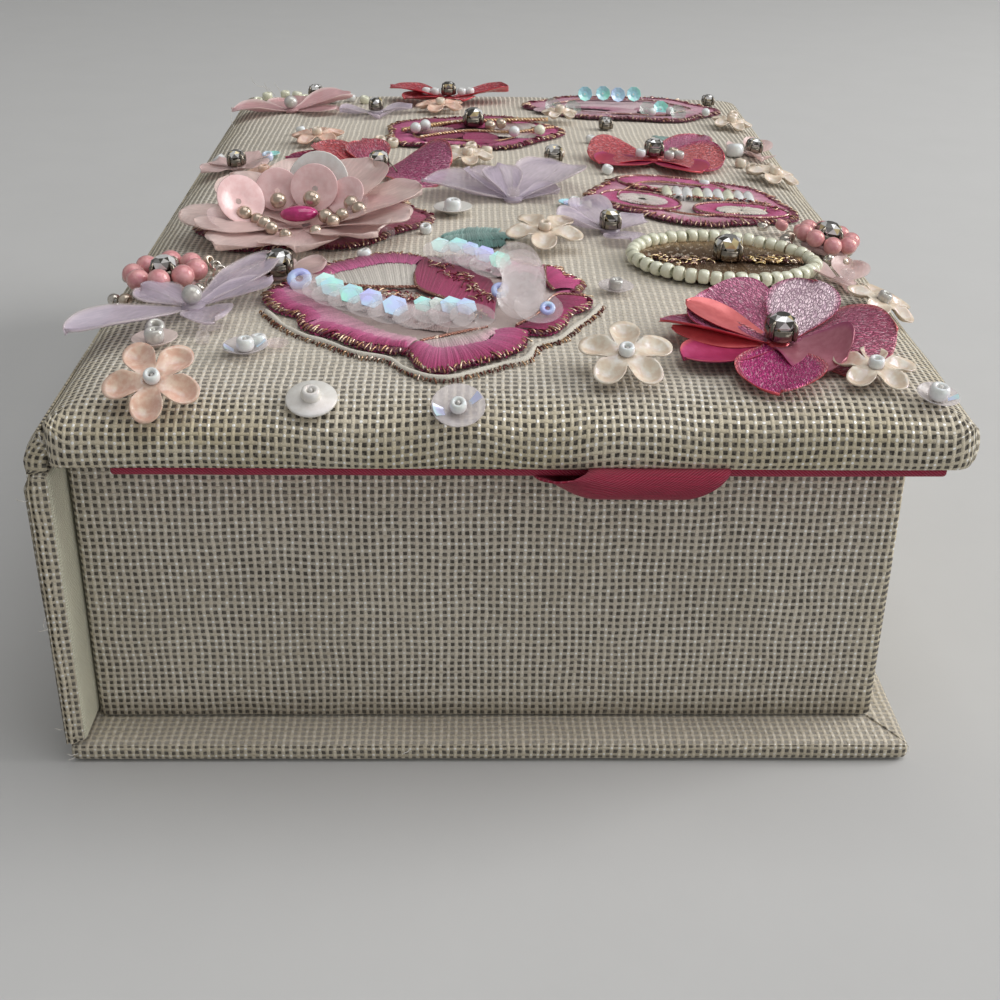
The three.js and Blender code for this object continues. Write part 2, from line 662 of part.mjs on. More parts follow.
// Petal flowers. Each petal: azimuth, length, width, rise, cup, curl.
const seedBead = () => bead(SEED_BEAD_DIAMETER);
const pearlBead = () => bead(PEARL_DIAMETER);
const petalFlowers = {
  foil_flower_front: {
    x: 38.9, y: -79.5, lift: 0.8, colour: foil, middle: stone, fine: true,
    petals: [
      [133, 14.5, 14, 25, 0.3, 0], [174, 18, 9, 12, 0.5, 0], [200, 17, 9, 3, 0.2, 0],
      [-97, 16, 14, 3, 0.3, -0.1], [-6, 17, 15, 36, -0.25, -0.4], [54, 12.5, 11, 24, 0.2, 0],
    ],
  },
  foil_flower_left: {
    x: -23, y: 5.5, lift: 0.8, colour: foil, middle: stone,
    petals: [
      [0, 15, 14, 22, 0.2, -0.1], [172, 18, 9, 8, 0.5, 0], [140, 12, 9, 18, 0.3, 0],
      [62, 14, 12, 8, 0.2, 0],
    ],
  },
  foil_flower_right: {
    x: 32, y: 20, lift: 0.8, colour: foil, middle: stone,
    petals: [
      [178, 14, 10, 8, 0.4, 0], [212, 13, 9, 4, 0.3, 0], [-8, 17, 11, 7, 0.3, 0],
      [62, 26, 9, 5, 0.2, 0],
    ],
  },
  foil_flower_back: {
    x: -10.5, y: 84, lift: 0.8, colour: foil, middle: stone,
    petals: [
      [170, 14, 10, 9, 0.4, 0], [215, 12, 9, 5, 0.3, 0], [2, 14, 10, 8, 0.3, 0],
      [-70, 9, 9, 6, 0.3, 0],
    ],
  },
  organza_flower: {
    x: -33.8, y: -28.5, lift: TRIM_GAP + OVER_STITCHES, colour: film, middle: pearlBead,
    petals: [
      [8, 20, 14, 13, 0.1, 0], [52, 18, 13, 20, 0.1, 0], [95, 17, 13, 21, 0.1, 0],
      [138, 19, 13, 16, 0.1, 0], [182, 21, 14, 8, 0.1, 0], [226, 19, 13, 5, 0.1, 0],
      [270, 17, 13, 5, 0.1, 0], [316, 18, 13, 7, 0.1, 0],
    ],
  },
  lavender_flower_left: {
    x: -47, y: -66.5, lift: 1.2, colour: film, middle: pearlBead,
    petals: [
      [216, 19, 9, 6, 0.25, -0.05], [58, 18, 9, 13, 0.3, 0], [150, 10, 8, 10, 0.2, 0],
      [-60, 9, 8, 6, 0.2, 0],
    ],
  },
  lavender_flower_stone: {
    x: -35.7, y: -52.0, lift: TRIM_GAP, colour: film, middle: stone,
    petals: [[206, 8, 8, 6, 0.2, 0], [12, 7, 8, 12, 0.2, 0]],
  },
  lavender_flower_mid: {
    x: 2.5, y: -12.5, lift: TRIM_GAP, colour: film, middle: seedBead,
    petals: [
      [160, 17, 11, 6, 0.35, 0], [54, 18, 13, 9, 0.35, 0], [105, 10, 7, 18, 0.3, 0],
    ],
  },
  lavender_flower_right: {
    x: 18.8, y: -29.8, lift: TRIM_GAP, colour: film, middle: stone,
    petals: [[190, 9, 8, 15, 0.3, 0], [120, 9, 8, 16, 0.3, 0], [-70, 8, 7, 8, 0.2, 0]],
  },
  lavender_flower_far_left: {
    x: -52.4, y: 18, lift: TRIM_GAP, colour: film, middle: stone,
    petals: [[200, 7, 8, 8, 0.2, 0], [60, 7, 8, 10, 0.2, 0], [-40, 7, 7, 12, 0.2, 0]],
  },
  lavender_flower_back: {
    x: -27.2, y: 68, lift: TRIM_GAP, colour: film, middle: stone,
    petals: [[190, 8, 7, 6, 0.2, 0], [10, 8, 7, 8, 0.2, 0], [-80, 7, 7, 4, 0.2, 0]],
  },
  mauve_flower_back: {
    x: -47.5, y: 72.5, lift: TRIM_GAP, colour: film, middle: pearlBead,
    petals: [[186, 13.5, 11, 4, 0.3, 0], [28, 15, 11, 8, 0.3, 0], [100, 10, 10, 6, 0.2, 0]],
  },
  pink_flower_far_right: {
    x: 55.2, y: 34.5, lift: TRIM_GAP, colour: film, middle: stone,
    petals: [[70, 7, 6, 12, 0.2, 0], [-80, 6, 6, 8, 0.2, 0]],
  },
  pink_flower_right: {
    x: 55.5, y: -49.5, lift: TRIM_GAP, colour: film, middle: seedBead,
    petals: [[70, 7, 6, 12, 0.2, 0], [-100, 5, 6, 8, 0.2, 0]],
  },
};
for (const [name, flower] of Object.entries(petalFlowers)) {
  add(name, layOnCloth(petalFlower(flower), flower.x, flower.y, flower.lift), flower.colour);
}

const clusters = {
  pearl_cluster_left: { x: -53.5, y: -53.2, count: 8, ringRadius: 5.2, beneath: 0 },
  pearl_cluster_right: { x: 55.2, y: -34.6, count: 8, ringRadius: 4.2, beneath: OVER_STITCHES },
};
for (const [name, { x, y, count, ringRadius, beneath }] of Object.entries(clusters)) {
  add(name, layOnCloth(pearlCluster(count, ringRadius), x, y, TRIM_GAP + beneath), pinkPearl);
}

const rhinestones = [[11.5, 17.5], [-43.5, 91], [25, 51], [53.3, 86]];
rhinestones.forEach(([x, y], i) => {
  add(`rhinestone_${i + 1}`, layOnCloth(stone(), x, y, TRIM_GAP), crystal);
});

export default group;
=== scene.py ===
# Dresses the cloth-covered keepsake box: open-weave cloth, satin, thread, beads, sequins and petals.
#
# Lengths are in millimetres in the code and metres in the scene. The frame is the part's own:
# +Z up, the hinge along Y on the -X side, -Y the front.

import math
import random

import bmesh
import bpy
import numpy as np
from mathutils import Matrix, Vector, noise


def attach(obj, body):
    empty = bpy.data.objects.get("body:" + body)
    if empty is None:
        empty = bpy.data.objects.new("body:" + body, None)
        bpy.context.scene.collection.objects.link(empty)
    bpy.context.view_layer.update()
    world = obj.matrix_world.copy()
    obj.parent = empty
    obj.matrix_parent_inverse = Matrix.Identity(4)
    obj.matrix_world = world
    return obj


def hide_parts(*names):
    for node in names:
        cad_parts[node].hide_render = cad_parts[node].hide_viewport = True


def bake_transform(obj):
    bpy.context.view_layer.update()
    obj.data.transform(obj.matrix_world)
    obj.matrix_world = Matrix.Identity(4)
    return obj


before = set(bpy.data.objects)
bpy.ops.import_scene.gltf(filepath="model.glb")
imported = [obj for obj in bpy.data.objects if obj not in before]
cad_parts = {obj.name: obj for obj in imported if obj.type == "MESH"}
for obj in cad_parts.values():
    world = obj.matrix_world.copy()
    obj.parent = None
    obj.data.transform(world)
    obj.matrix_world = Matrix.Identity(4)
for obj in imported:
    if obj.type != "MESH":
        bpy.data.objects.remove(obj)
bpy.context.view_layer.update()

MM = 0.001

# Cloth and film, and how finely the shapes are cut
THREAD_PITCH = 1.11
FINE_PITCH = 0.45
CLOTH_THICKNESS = 0.30
FILM_THICKNESS = 0.12
FOIL_THICKNESS = 0.16
SATIN_THICKNESS = 0.30
SEQUIN_THICKNESS = 0.22
BEAD_HOLE = 0.3
BOARD_ROUNDING = 1.1
BLOCK_STEP = 5.0
LID_STEP = 3.2
CORD_STEP = 0.32
PETAL_ROOT = 0.8
PETAL_COLUMNS = 11
STONE_SIDES = 8
LOOSE_TONE = (0.74, 0.72, 0.66)

# Sizes shared with the part's source
CASE_LENGTH = 200.0
CASE_WIDTH = 125.0
BOARD_THICKNESS = 3.0
SPINE_THICKNESS = 2.8
SEAM = 0.3
TRAY_HEIGHT = 44.1
TRAY_WALL = 2.5
TRAY_FLOOR = 2.5
END_LIP = 7.0
FREE_LIP = 4.4
LID_OVERHANG = 2.0
LINING_THICKNESS = 1.5
LINING_HINGE_SETBACK = 9.7
LINING_FREE_SETBACK = 3.7
LINING_PROUD = 0.5
LID_CORNER = 4.0
LID_EDGE_HEIGHT = 3.5
LID_PUFF = 4.0
LID_PUFF_REACH = 9.0
LID_CROWN = 3.5
RIBBON_WIDTH = 19.0
RIBBON_THICKNESS = 0.4
RIBBON_OFFSET = 19.8
STITCH_THICKNESS = 0.55
STITCH_GAP = 0.3
TRIM_GAP = 0.3
STONE_DIAMETER = 4.7
STONE_HEIGHT = 3.8
FLOWER_SEQUIN_DIAMETER = 13.5
CUP_SEQUIN_DIAMETER = 7.0
SEED_BEAD_DIAMETER = 2.4
PEARL_DIAMETER = 3.2

HALF_LENGTH = CASE_LENGTH / 2
HALF_WIDTH = CASE_WIDTH / 2
TRAY_BOTTOM = BOARD_THICKNESS + SEAM
RIM_Z = TRAY_BOTTOM + TRAY_HEIGHT
TRAY_LEFT = -HALF_WIDTH + SPINE_THICKNESS + SEAM
TRAY_RIGHT = HALF_WIDTH - FREE_LIP
TRAY_HALF_LENGTH = HALF_LENGTH - END_LIP
LINING_Z = RIM_Z + SEAM
LID_Z = LINING_Z + LINING_THICKNESS + SEAM
LID_LEFT = -HALF_WIDTH + LID_OVERHANG
LID_RIGHT = HALF_WIDTH + LID_OVERHANG
LID_CENTRE_X = (LID_LEFT + LID_RIGHT) / 2
LID_HALF_WIDTH = (LID_RIGHT - LID_LEFT) / 2
LID_WIDEST_Z = LID_Z + LID_EDGE_HEIGHT
OVER_STITCHES = STITCH_GAP + STITCH_THICKNESS


def lid_top(x, y):
    """Height of the padded cloth at a place in plan, without its small unevenness."""
    across = (x - LID_CENTRE_X) / LID_HALF_WIDTH
    along = y / HALF_LENGTH
    inward = min(LID_HALF_WIDTH * (1 - abs(across)), HALF_LENGTH * (1 - abs(along)))
    inward = min(max(inward / LID_PUFF_REACH, 0), 1)
    puff = LID_PUFF * math.sqrt(max(0, 1 - (1 - inward) ** 2))
    return LID_WIDEST_Z + puff + LID_CROWN * max(0, 1 - across**2) * max(0, 1 - along**2)


def wobble(x, y, z, scale, size):
    """Smooth unevenness at a place: lumps about scale across and up to size high."""
    return size * noise.noise(Vector((x / scale, y / scale, z / scale)))


def patches(x, y, z, scale):
    """Smooth patches from 0 to 1, about scale across."""
    return 0.5 + wobble(x, y, z, scale, 0.5)


# Materials: small helpers to write shader graphs as expressions


class Graph:
    def __init__(self, name):
        self.material = bpy.data.materials.new(name)
        self.material.use_nodes = True
        self.tree = self.material.node_tree
        self.shader = self.tree.nodes["Principled BSDF"]
        self.output = self.tree.nodes["Material Output"]

    def put(self, socket, value):
        if isinstance(value, bpy.types.NodeSocket):
            self.tree.links.new(value, socket)
        elif isinstance(value, (tuple, list)) and len(value) == 3 and len(socket.default_value) == 4:
            socket.default_value = (*value, 1)
        else:
            socket.default_value = value

    def math(self, operation, *values):
        n = self.tree.nodes.new("ShaderNodeMath")
        n.operation = operation
        for socket, value in zip(n.inputs, values):
            self.put(socket, value)
        return n.outputs[0]

    def add(self, a, b):
        return self.math("ADD", a, b)

    def sub(self, a, b):
        return self.math("SUBTRACT", a, b)

    def mul(self, a, b):
        return self.math("MULTIPLY", a, b)

    def sine(self, value):
        return self.math("SINE", value)

    def ramp(self, value, low, high):
        n = self.tree.nodes.new("ShaderNodeMapRange")
        n.interpolation_type = "SMOOTHSTEP"
        self.put(n.inputs["Value"], value)
        n.inputs["From Min"].default_value = low
        n.inputs["From Max"].default_value = high
        return n.outputs[0]

    def mix(self, share, a, b, mode="MIX"):
        n = self.tree.nodes.new("ShaderNodeMix")
        n.data_type = "RGBA"
        n.blend_type = mode
        self.put(n.inputs[0], share)
        self.put(n.inputs[6], a)
        self.put(n.inputs[7], b)
        return n.outputs[2]

    def darken(self, share, a, b):
        """Multiplies one colour by another, as far as share says."""
        return self.mix(share, a, b, "MULTIPLY")

    def clouded(self, value, low, high, colour, share):
        """A colour with a darker tone of itself where the value is low."""
        return self.mix(self.ramp(value, low, high), tuple(share * c for c in colour), colour)

    def uv(self):
        n = self.tree.nodes.new("ShaderNodeUVMap")
        n.uv_map = "weave"
        return n.outputs[0]

    def place(self):
        return self.tree.nodes.new("ShaderNodeTexCoord").outputs["Object"]

    def tone(self):
        n = self.tree.nodes.new("ShaderNodeAttribute")
        n.attribute_name = "tone"
        return n.outputs["Color"]

    def split(self, vector):
        n = self.tree.nodes.new("ShaderNodeSeparateXYZ")
        self.tree.links.new(vector, n.inputs[0])
        return n.outputs[0], n.outputs[1], n.outputs[2]

    def join(self, x, y, z=0.0):
        n = self.tree.nodes.new("ShaderNodeCombineXYZ")
        for socket, value in zip(n.inputs, (x, y, z)):
            self.put(socket, value)
        return n.outputs[0]

    def noise(self, vector, scale, detail=2.0, rough=0.5):
        n = self.tree.nodes.new("ShaderNodeTexNoise")
        self.tree.links.new(vector, n.inputs["Vector"])
        n.inputs["Scale"].default_value = scale
        n.inputs["Detail"].default_value = detail
        n.inputs["Roughness"].default_value = rough
        return n.outputs[0]

    def cell_edges(self, vector, scale):
        n = self.tree.nodes.new("ShaderNodeTexVoronoi")
        n.feature = "DISTANCE_TO_EDGE"
        self.tree.links.new(vector, n.inputs["Vector"])
        n.inputs["Scale"].default_value = scale
        return n.outputs["Distance"]

    def speckle(self, vector):
        n = self.tree.nodes.new("ShaderNodeTexWhiteNoise")
        n.noise_dimensions = "3D"
        self.tree.links.new(vector, n.inputs["Vector"])
        return n.outputs["Value"]

    def bump(self, height, distance, strength=1.0):
        n = self.tree.nodes.new("ShaderNodeBump")
        n.inputs["Strength"].default_value = strength
        n.inputs["Distance"].default_value = distance
        self.tree.links.new(height, n.inputs["Height"])
        self.tree.links.new(n.outputs[0], self.shader.inputs["Normal"])

    def surface(self, **values):
        names = {
            "colour": "Base Color", "roughness": "Roughness", "metallic": "Metallic", "ior": "IOR",
            "alpha": "Alpha", "coat": "Coat Weight", "coat_roughness": "Coat Roughness",
            "sheen": "Sheen Weight", "sheen_roughness": "Sheen Roughness",
            "transmission": "Transmission Weight", "film": "Thin Film Thickness",
            "film_ior": "Thin Film IOR", "specular": "Specular IOR Level",
            "anisotropic": "Anisotropic",
        }
        for key, value in values.items():
            self.put(self.shader.inputs[names[key]], value)
        return self.material


def weave(name, thread, hole, glint, pale_lit_hole=(0.62, 0.60, 0.56)):
    """Open plain weave on the UV map, one unit to a thread. The tone attribute's red lightens the
    gaps, partly as over white wadding and partly as painted light on the upward faces; its green
    yellows the cloth and its blue darkens it, as dirt and as painted shade. The white dots on the
    thread crests are painted glints."""
    g = Graph(name)
    uv = g.uv()
    bent = g.tree.nodes.new("ShaderNodeVectorMath")
    bent.operation = "MULTIPLY_ADD"
    drift = g.tree.nodes.new("ShaderNodeTexNoise")
    drift.inputs["Scale"].default_value = 0.11
    drift.inputs["Detail"].default_value = 3
    g.tree.links.new(uv, drift.inputs["Vector"])
    g.tree.links.new(drift.outputs["Color"], bent.inputs[0])
    bent.inputs[1].default_value = (0.9, 0.9, 0)
    g.tree.links.new(uv, bent.inputs[2])
    u, v, _ = g.split(bent.outputs[0])
    column = g.math("FLOOR", u)
    row = g.math("FLOOR", v)
    across = g.sub(g.math("FRACT", u), 0.5)
    along = g.sub(g.math("FRACT", v), 0.5)
    jitter = g.speckle(g.join(column, row, 0.3))
    slub = g.noise(g.join(g.mul(u, 1.3), g.mul(v, 1.3), 4.0), 1.0, 2.0, 0.6)
    half = g.add(g.add(0.165, g.mul(jitter, 0.05)), g.mul(slub, 0.15))

    def strand(offset):
        share = g.math("DIVIDE", offset, half)
        return g.math("SQRT", g.math("MAXIMUM", g.sub(1.0, g.mul(share, share)), 0.0))

    def sign(cell):
        return g.sub(1.0, g.mul(2.0, g.math("FLOORED_MODULO", cell, 2.0)))

    warp = g.mul(strand(across), g.add(0.80, g.mul(0.20, g.mul(sign(column), g.sine(g.mul(v, math.pi))))))
    weft = g.mul(strand(along), g.add(0.76, g.mul(-0.20, g.mul(sign(row), g.sine(g.mul(u, math.pi))))))
    height = g.math("MAXIMUM", warp, weft)
    crossing = g.math("SQRT", g.add(g.mul(across, across), g.mul(along, along)))
    fibre = g.noise(g.join(g.mul(u, 9.0), g.mul(v, 9.0)), 1.0, 2.0, 0.6)
    cover = g.ramp(height, 0.05, 0.45)
    tone = g.tone()
    pale, yellow, dirt_and_shade = g.split(tone)
    gap = g.mix(
        g.mul(g.ramp(g.speckle(g.join(column, row, 4.0)), 0.35, 0.95), 0.28), hole,
        tuple(0.42 * c for c in thread)
    )
    # Paler gaps where the tone's red is high: white wadding beneath, and painted light on the upward faces
    gap = g.mix(pale, gap, pale_lit_hole)
    pick = g.speckle(g.join(column, row, 7.0))
    patch = g.noise(g.join(u, v), 0.035, 3.0, 0.6)
    # Threads darker away from the crossings, towards the holes: painted shade where they dip, over their own
    # fibre tone
    shade = g.sub(g.ramp(fibre, 0.3, 0.75), g.mul(0.55, g.ramp(crossing, 0.30, 0.52)))
    body = g.mix(g.math("MAXIMUM", shade, 0.0), tuple(0.66 * c for c in thread), thread)
    body = g.darken(g.mul(g.math("GREATER_THAN", weft, warp), 0.5), body, (0.74, 0.73, 0.71))
    body = g.darken(g.mul(g.ramp(patch, 0.42, 0.68), 0.22), body, (0.55, 0.52, 0.46))
    body = g.darken(g.mul(yellow, 0.75), body, (0.86, 0.80, 0.52))
    strand_tone = g.math(
        "MAXIMUM", g.mul(g.speckle(g.join(column, 3.0, 1.0)), g.math("GREATER_THAN", warp, weft)),
        g.mul(g.speckle(g.join(5.0, row, 2.0)), g.math("GREATER_THAN", weft, warp))
    )
    body = g.darken(g.mul(strand_tone, 0.35), body, (0.62, 0.60, 0.57))
    # Lurex at some crossings: metallic and glossier, with a painted glint of white on the crest, less on the
    # pale top
    lurex_glint = g.mul(g.ramp(pick, 0.24, 0.80), g.sub(1.0, g.ramp(crossing, 0.12, 0.24)))
    lurex_glint = g.mul(lurex_glint, g.sub(1.0, g.mul(pale, 0.85)))
    body = g.mix(lurex_glint, body, glint)
    colour = g.mix(cover, gap, body)
    # The tone's blue darkens the cloth: dirt in patches and at the ends, painted shade at the tray's foot and
    # in the spine's fold valleys
    colour = g.darken(g.mul(dirt_and_shade, 0.6), colour, (0.45, 0.41, 0.33))
    g.bump(g.mul(g.add(height, g.mul(fibre, 0.12)), g.sub(1.0, g.mul(pale, 0.6))), 0.00028)
    return g.surface(
        colour=colour, roughness=g.sub(0.80, g.mul(lurex_glint, 0.5)), metallic=g.mul(lurex_glint, 0.5), sheen=0.08,
        specular=0.3
    )


def plain_cloth(name, colour):
    """Fine close cloth, for the inner faces of the case."""
    g = Graph(name)
    turns = 2 * math.pi * THREAD_PITCH / FINE_PITCH
    u, v, _ = g.split(g.uv())
    ribs = g.add(g.sine(g.mul(u, turns)), g.sine(g.mul(v, turns)))
    stain = g.noise(g.place(), 60.0, 3.0, 0.6)
    body = g.clouded(stain, 0.35, 0.7, colour, 0.82)
    body = g.mix(g.ramp(ribs, -1.4, 0.4), tuple(0.6 * c for c in colour), body)
    g.bump(ribs, 0.00008, 0.7)
    return g.surface(colour=body, roughness=0.85, sheen=0.2)


def satin(name, colour, shaded_colour):
    """Woven satin: fine close ribs across; soft broad highlights painted as lighter streaks over a
    shaded copy of its colour, and painted sheen on the rib crests.
    """
    g = Graph(name)
    u, v, _ = g.split(g.uv())
    ribs = g.sine(g.mul(g.add(g.mul(u, 0.8), v), 2 * math.pi * 2.6))
    sheen_streak = g.noise(g.join(g.mul(u, 0.4), g.mul(v, 9.0)), 1.0, 3.0, 0.6)
    # Painted sheen: lighter streaks over a shaded copy, and lighter pink on the rib crests
    body = g.mix(g.ramp(sheen_streak, 0.3, 0.75), shaded_colour, colour)
    body = g.mix(g.mul(g.ramp(ribs, 0.2, 1.0), 0.22), body, (0.80, 0.25, 0.36))
    g.bump(g.add(ribs, g.mul(sheen_streak, 1.5)), 0.00008, 0.8)
    return g.surface(colour=body, roughness=0.42, sheen=0.05, specular=0.35, anisotropic=0.4)


def thread(name, roughness, metallic, fleck=0.0, sheen=0.25, size=5200.0):
    """Embroidery thread, coloured by the tone attribute, with fine twisted fibres."""
    g = Graph(name)
    tone = g.tone()
    place = g.place()
    fibre = g.noise(place, size, 2.0, 0.6)
    body = g.mix(g.ramp(fibre, 0.3, 0.7), g.darken(1.0, tone, (0.72, 0.70, 0.72)), tone)
    if fleck:
        spark = g.ramp(g.noise(place, size * 0.45, 1.0, 0.5), 0.58, 0.66)
        body = g.mix(g.mul(spark, fleck), body, (1.0, 0.86, 0.72))
    g.bump(fibre, 0.00012, 0.7)
    return g.surface(colour=body, roughness=roughness, metallic=metallic, sheen=sheen)


def pearly(name, colour, warm, roughness=0.22, film=420.0, metallic=0.0, grain=900.0):
    """Moulded pearl finish: slow cloudy colour, thin-film lustre and a clear coat."""
    g = Graph(name)
    place = g.place()
    cloud = g.noise(place, grain, 3.0, 0.55)
    tone = g.tone()
    body = g.darken(1.0, g.mix(g.ramp(cloud, 0.35, 0.68), warm, colour), tone)
    g.bump(g.noise(place, 2600.0, 2.0, 0.5), 0.00003, 0.6)
    return g.surface(
        colour=body, roughness=roughness, metallic=metallic, coat=0.6, coat_roughness=0.08,
        film=film, film_ior=1.38, ior=1.5,
    )


def petal_film(name, colour, roughness, transmission, film, crease=0.00010, alpha=1.0):
    """Thin translucent plastic or organza petal: creased, glossy, faintly iridescent."""
    g = Graph(name)
    u, v, _ = g.split(g.uv())
    tone = g.tone()
    wrinkle_and_shade = g.noise(g.join(g.mul(u, 0.5), g.mul(v, 2.6)), 0.9, 3.0, 0.6)
    mesh = g.add(g.sine(g.mul(u, 24.0)), g.sine(g.mul(v, 24.0)))
    # Darker where the wrinkles sink: painted shade in the creases
    body = g.clouded(wrinkle_and_shade, 0.35, 0.7, colour, 0.86)
    body = g.darken(1.0, body, tone)
    g.bump(g.add(wrinkle_and_shade, g.mul(mesh, 0.05)), crease, 0.9)
    return g.surface(
        colour=body, roughness=roughness, transmission=transmission, film=film, film_ior=1.36,
        coat=0.3, coat_roughness=0.06, ior=1.35, alpha=alpha,
    )


def leather_foil(name):
    """Metallic foil over a pressed leather grain. Tone carries the petal's own colours."""
    g = Graph(name)
    u, v, _ = g.split(g.uv())
    tone = g.tone()
    stretched = g.join(u, g.mul(v, 2.2))
    grain = g.cell_edges(stretched, 1.35)
    vein = g.noise(g.join(g.mul(u, 0.8), g.mul(v, 3.2)), 1.0, 4.0, 0.65)
    crest = g.ramp(grain, 0.0, 0.22)
    # Darker in the grain's grooves: painted shade
    body = g.mix(crest, g.darken(1.0, tone, (0.50, 0.40, 0.48)), tone)
    # Pale pink on the raised veins: painted highlights
    body = g.mix(g.mul(g.ramp(vein, 0.51, 0.66), 0.45), body, (0.98, 0.74, 0.82))
    g.bump(g.add(g.mul(crest, 0.8), g.mul(vein, 0.9)), 0.00017, 0.9)
    return g.surface(
        colour=body, roughness=g.add(0.26, g.mul(vein, 0.16)), metallic=0.38, coat=0.25, coat_roughness=0.12
    )


def smooth_foil(name):
    """The underside and thin edges of the foil petals: plain coral film."""
    g = Graph(name)
    tone = g.tone()
    cloud = g.noise(g.place(), 700.0, 3.0, 0.6)
    body = g.mix(g.ramp(cloud, 0.3, 0.7), g.darken(1.0, tone, (0.86, 0.74, 0.78)), tone)
    g.bump(cloud, 0.00006, 0.5)
    return g.surface(colour=body, roughness=0.3, metallic=0.35, coat=0.3, coat_roughness=0.1)


def crystal_glass(name, colour, metallic):
    """Foil-backed cut glass; the tone attribute paints a reflection on each facet."""
    g = Graph(name)
    cloud = g.noise(g.place(), 420.0, 2.0, 0.6)
    tone = g.tone()
    body = g.clouded(cloud, 0.3, 0.7, colour, 0.8)
    body = g.darken(1.0, body, tone)
    return g.surface(colour=body, roughness=0.04, metallic=metallic, coat=0.6, coat_roughness=0.02)


def metal(name, colour, roughness):
    g = Graph(name)
    wear = g.noise(g.place(), 1400.0, 3.0, 0.6)
    body = g.clouded(wear, 0.3, 0.7, colour, 0.7)
    g.bump(wear, 0.00003, 0.5)
    return g.surface(colour=body, roughness=roughness, metallic=1.0)


CLOTH = weave("box_cloth", (0.95, 0.87, 0.74), (0.035, 0.029, 0.021), (0.97, 0.97, 0.95), (0.60, 0.56, 0.50))
INNER_CLOTH = plain_cloth("inner_cloth", (0.97, 0.95, 0.74))
SATIN = satin("magenta_satin", (0.44, 0.010, 0.055), (0.22, 0.004, 0.024))
SILK = thread("embroidery_silk", 0.42, 0.0)
GOLD = thread("lurex_thread", 0.3, 0.85, fleck=0.8, sheen=0.0, size=2600.0)
PIPING = thread("piping_cotton", 0.75, 0.0)
PEACH = pearly("peach_pearl", (0.84, 0.62, 0.49), (0.74, 0.45, 0.34), 0.24, 380.0)
IVORY = pearly("ivory_pearl", (0.83, 0.75, 0.62), (0.74, 0.60, 0.46), 0.24, 360.0)
WHITE_CUP = pearly("white_cup", (0.83, 0.82, 0.79), (0.76, 0.74, 0.70), 0.30, 300.0)
CLEAR = petal_film("clear_sequin", (0.97, 0.88, 0.88), 0.10, 0.30, 480.0, crease=0.00003, alpha=0.24)
CLEAR_CUP = petal_film("clear_cup", (0.95, 0.88, 0.90), 0.10, 0.30, 480.0, crease=0.00003, alpha=0.50)
RAINBOW = pearly("rainbow_sequin", (0.66, 0.95, 0.92), (0.70, 0.72, 1.0), 0.14, 0.0, grain=260.0)
LEATHER = leather_foil("foil_leather")
CORAL = smooth_foil("foil_coral")
LILAC = petal_film("lilac_film", (0.84, 0.76, 0.82), 0.18, 0.20, 430.0, alpha=0.52)
ORGANZA = petal_film("organza", (0.95, 0.79, 0.75), 0.36, 0.10, 0.0, crease=0.00006, alpha=0.64)
PALE_CUP = pearly("pale_pink_cup", (0.92, 0.74, 0.72), (0.86, 0.64, 0.62), 0.24, 0.0)
PINK_PEARL = pearly("pink_pearl", (0.80, 0.42, 0.42), (0.66, 0.28, 0.30), 0.18, 300.0)
GOLD_PEARL = pearly("champagne_pearl", (0.72, 0.62, 0.50), (0.46, 0.36, 0.27), 0.16, 340.0, metallic=0.55)
CREAM_BEAD = pearly("cream_bead", (0.82, 0.83, 0.68), (0.72, 0.72, 0.55), 0.16, 0.0)
WHITE_BEAD = pearly("white_bead", (0.86, 0.86, 0.84), (0.76, 0.77, 0.76), 0.14, 380.0)
GREY_PEARL = pearly("grey_pearl", (0.66, 0.63, 0.60), (0.50, 0.47, 0.45), 0.16, 420.0, metallic=0.2)
MAGENTA_BEAD = pearly("magenta_bead", (0.55, 0.03, 0.20), (0.40, 0.02, 0.13), 0.12, 0.0)
SILVER_BEAD = pearly("silver_lined_bead", (0.72, 0.68, 0.62), (0.42, 0.38, 0.33), 0.10, 300.0, metallic=0.75)
CRYSTAL = crystal_glass("crystal", (0.97, 0.97, 0.97), 0.35)
PRONG = metal("prong_metal", (0.30, 0.265, 0.22), 0.24)

# Meshes: one Piece collects the faces of one object


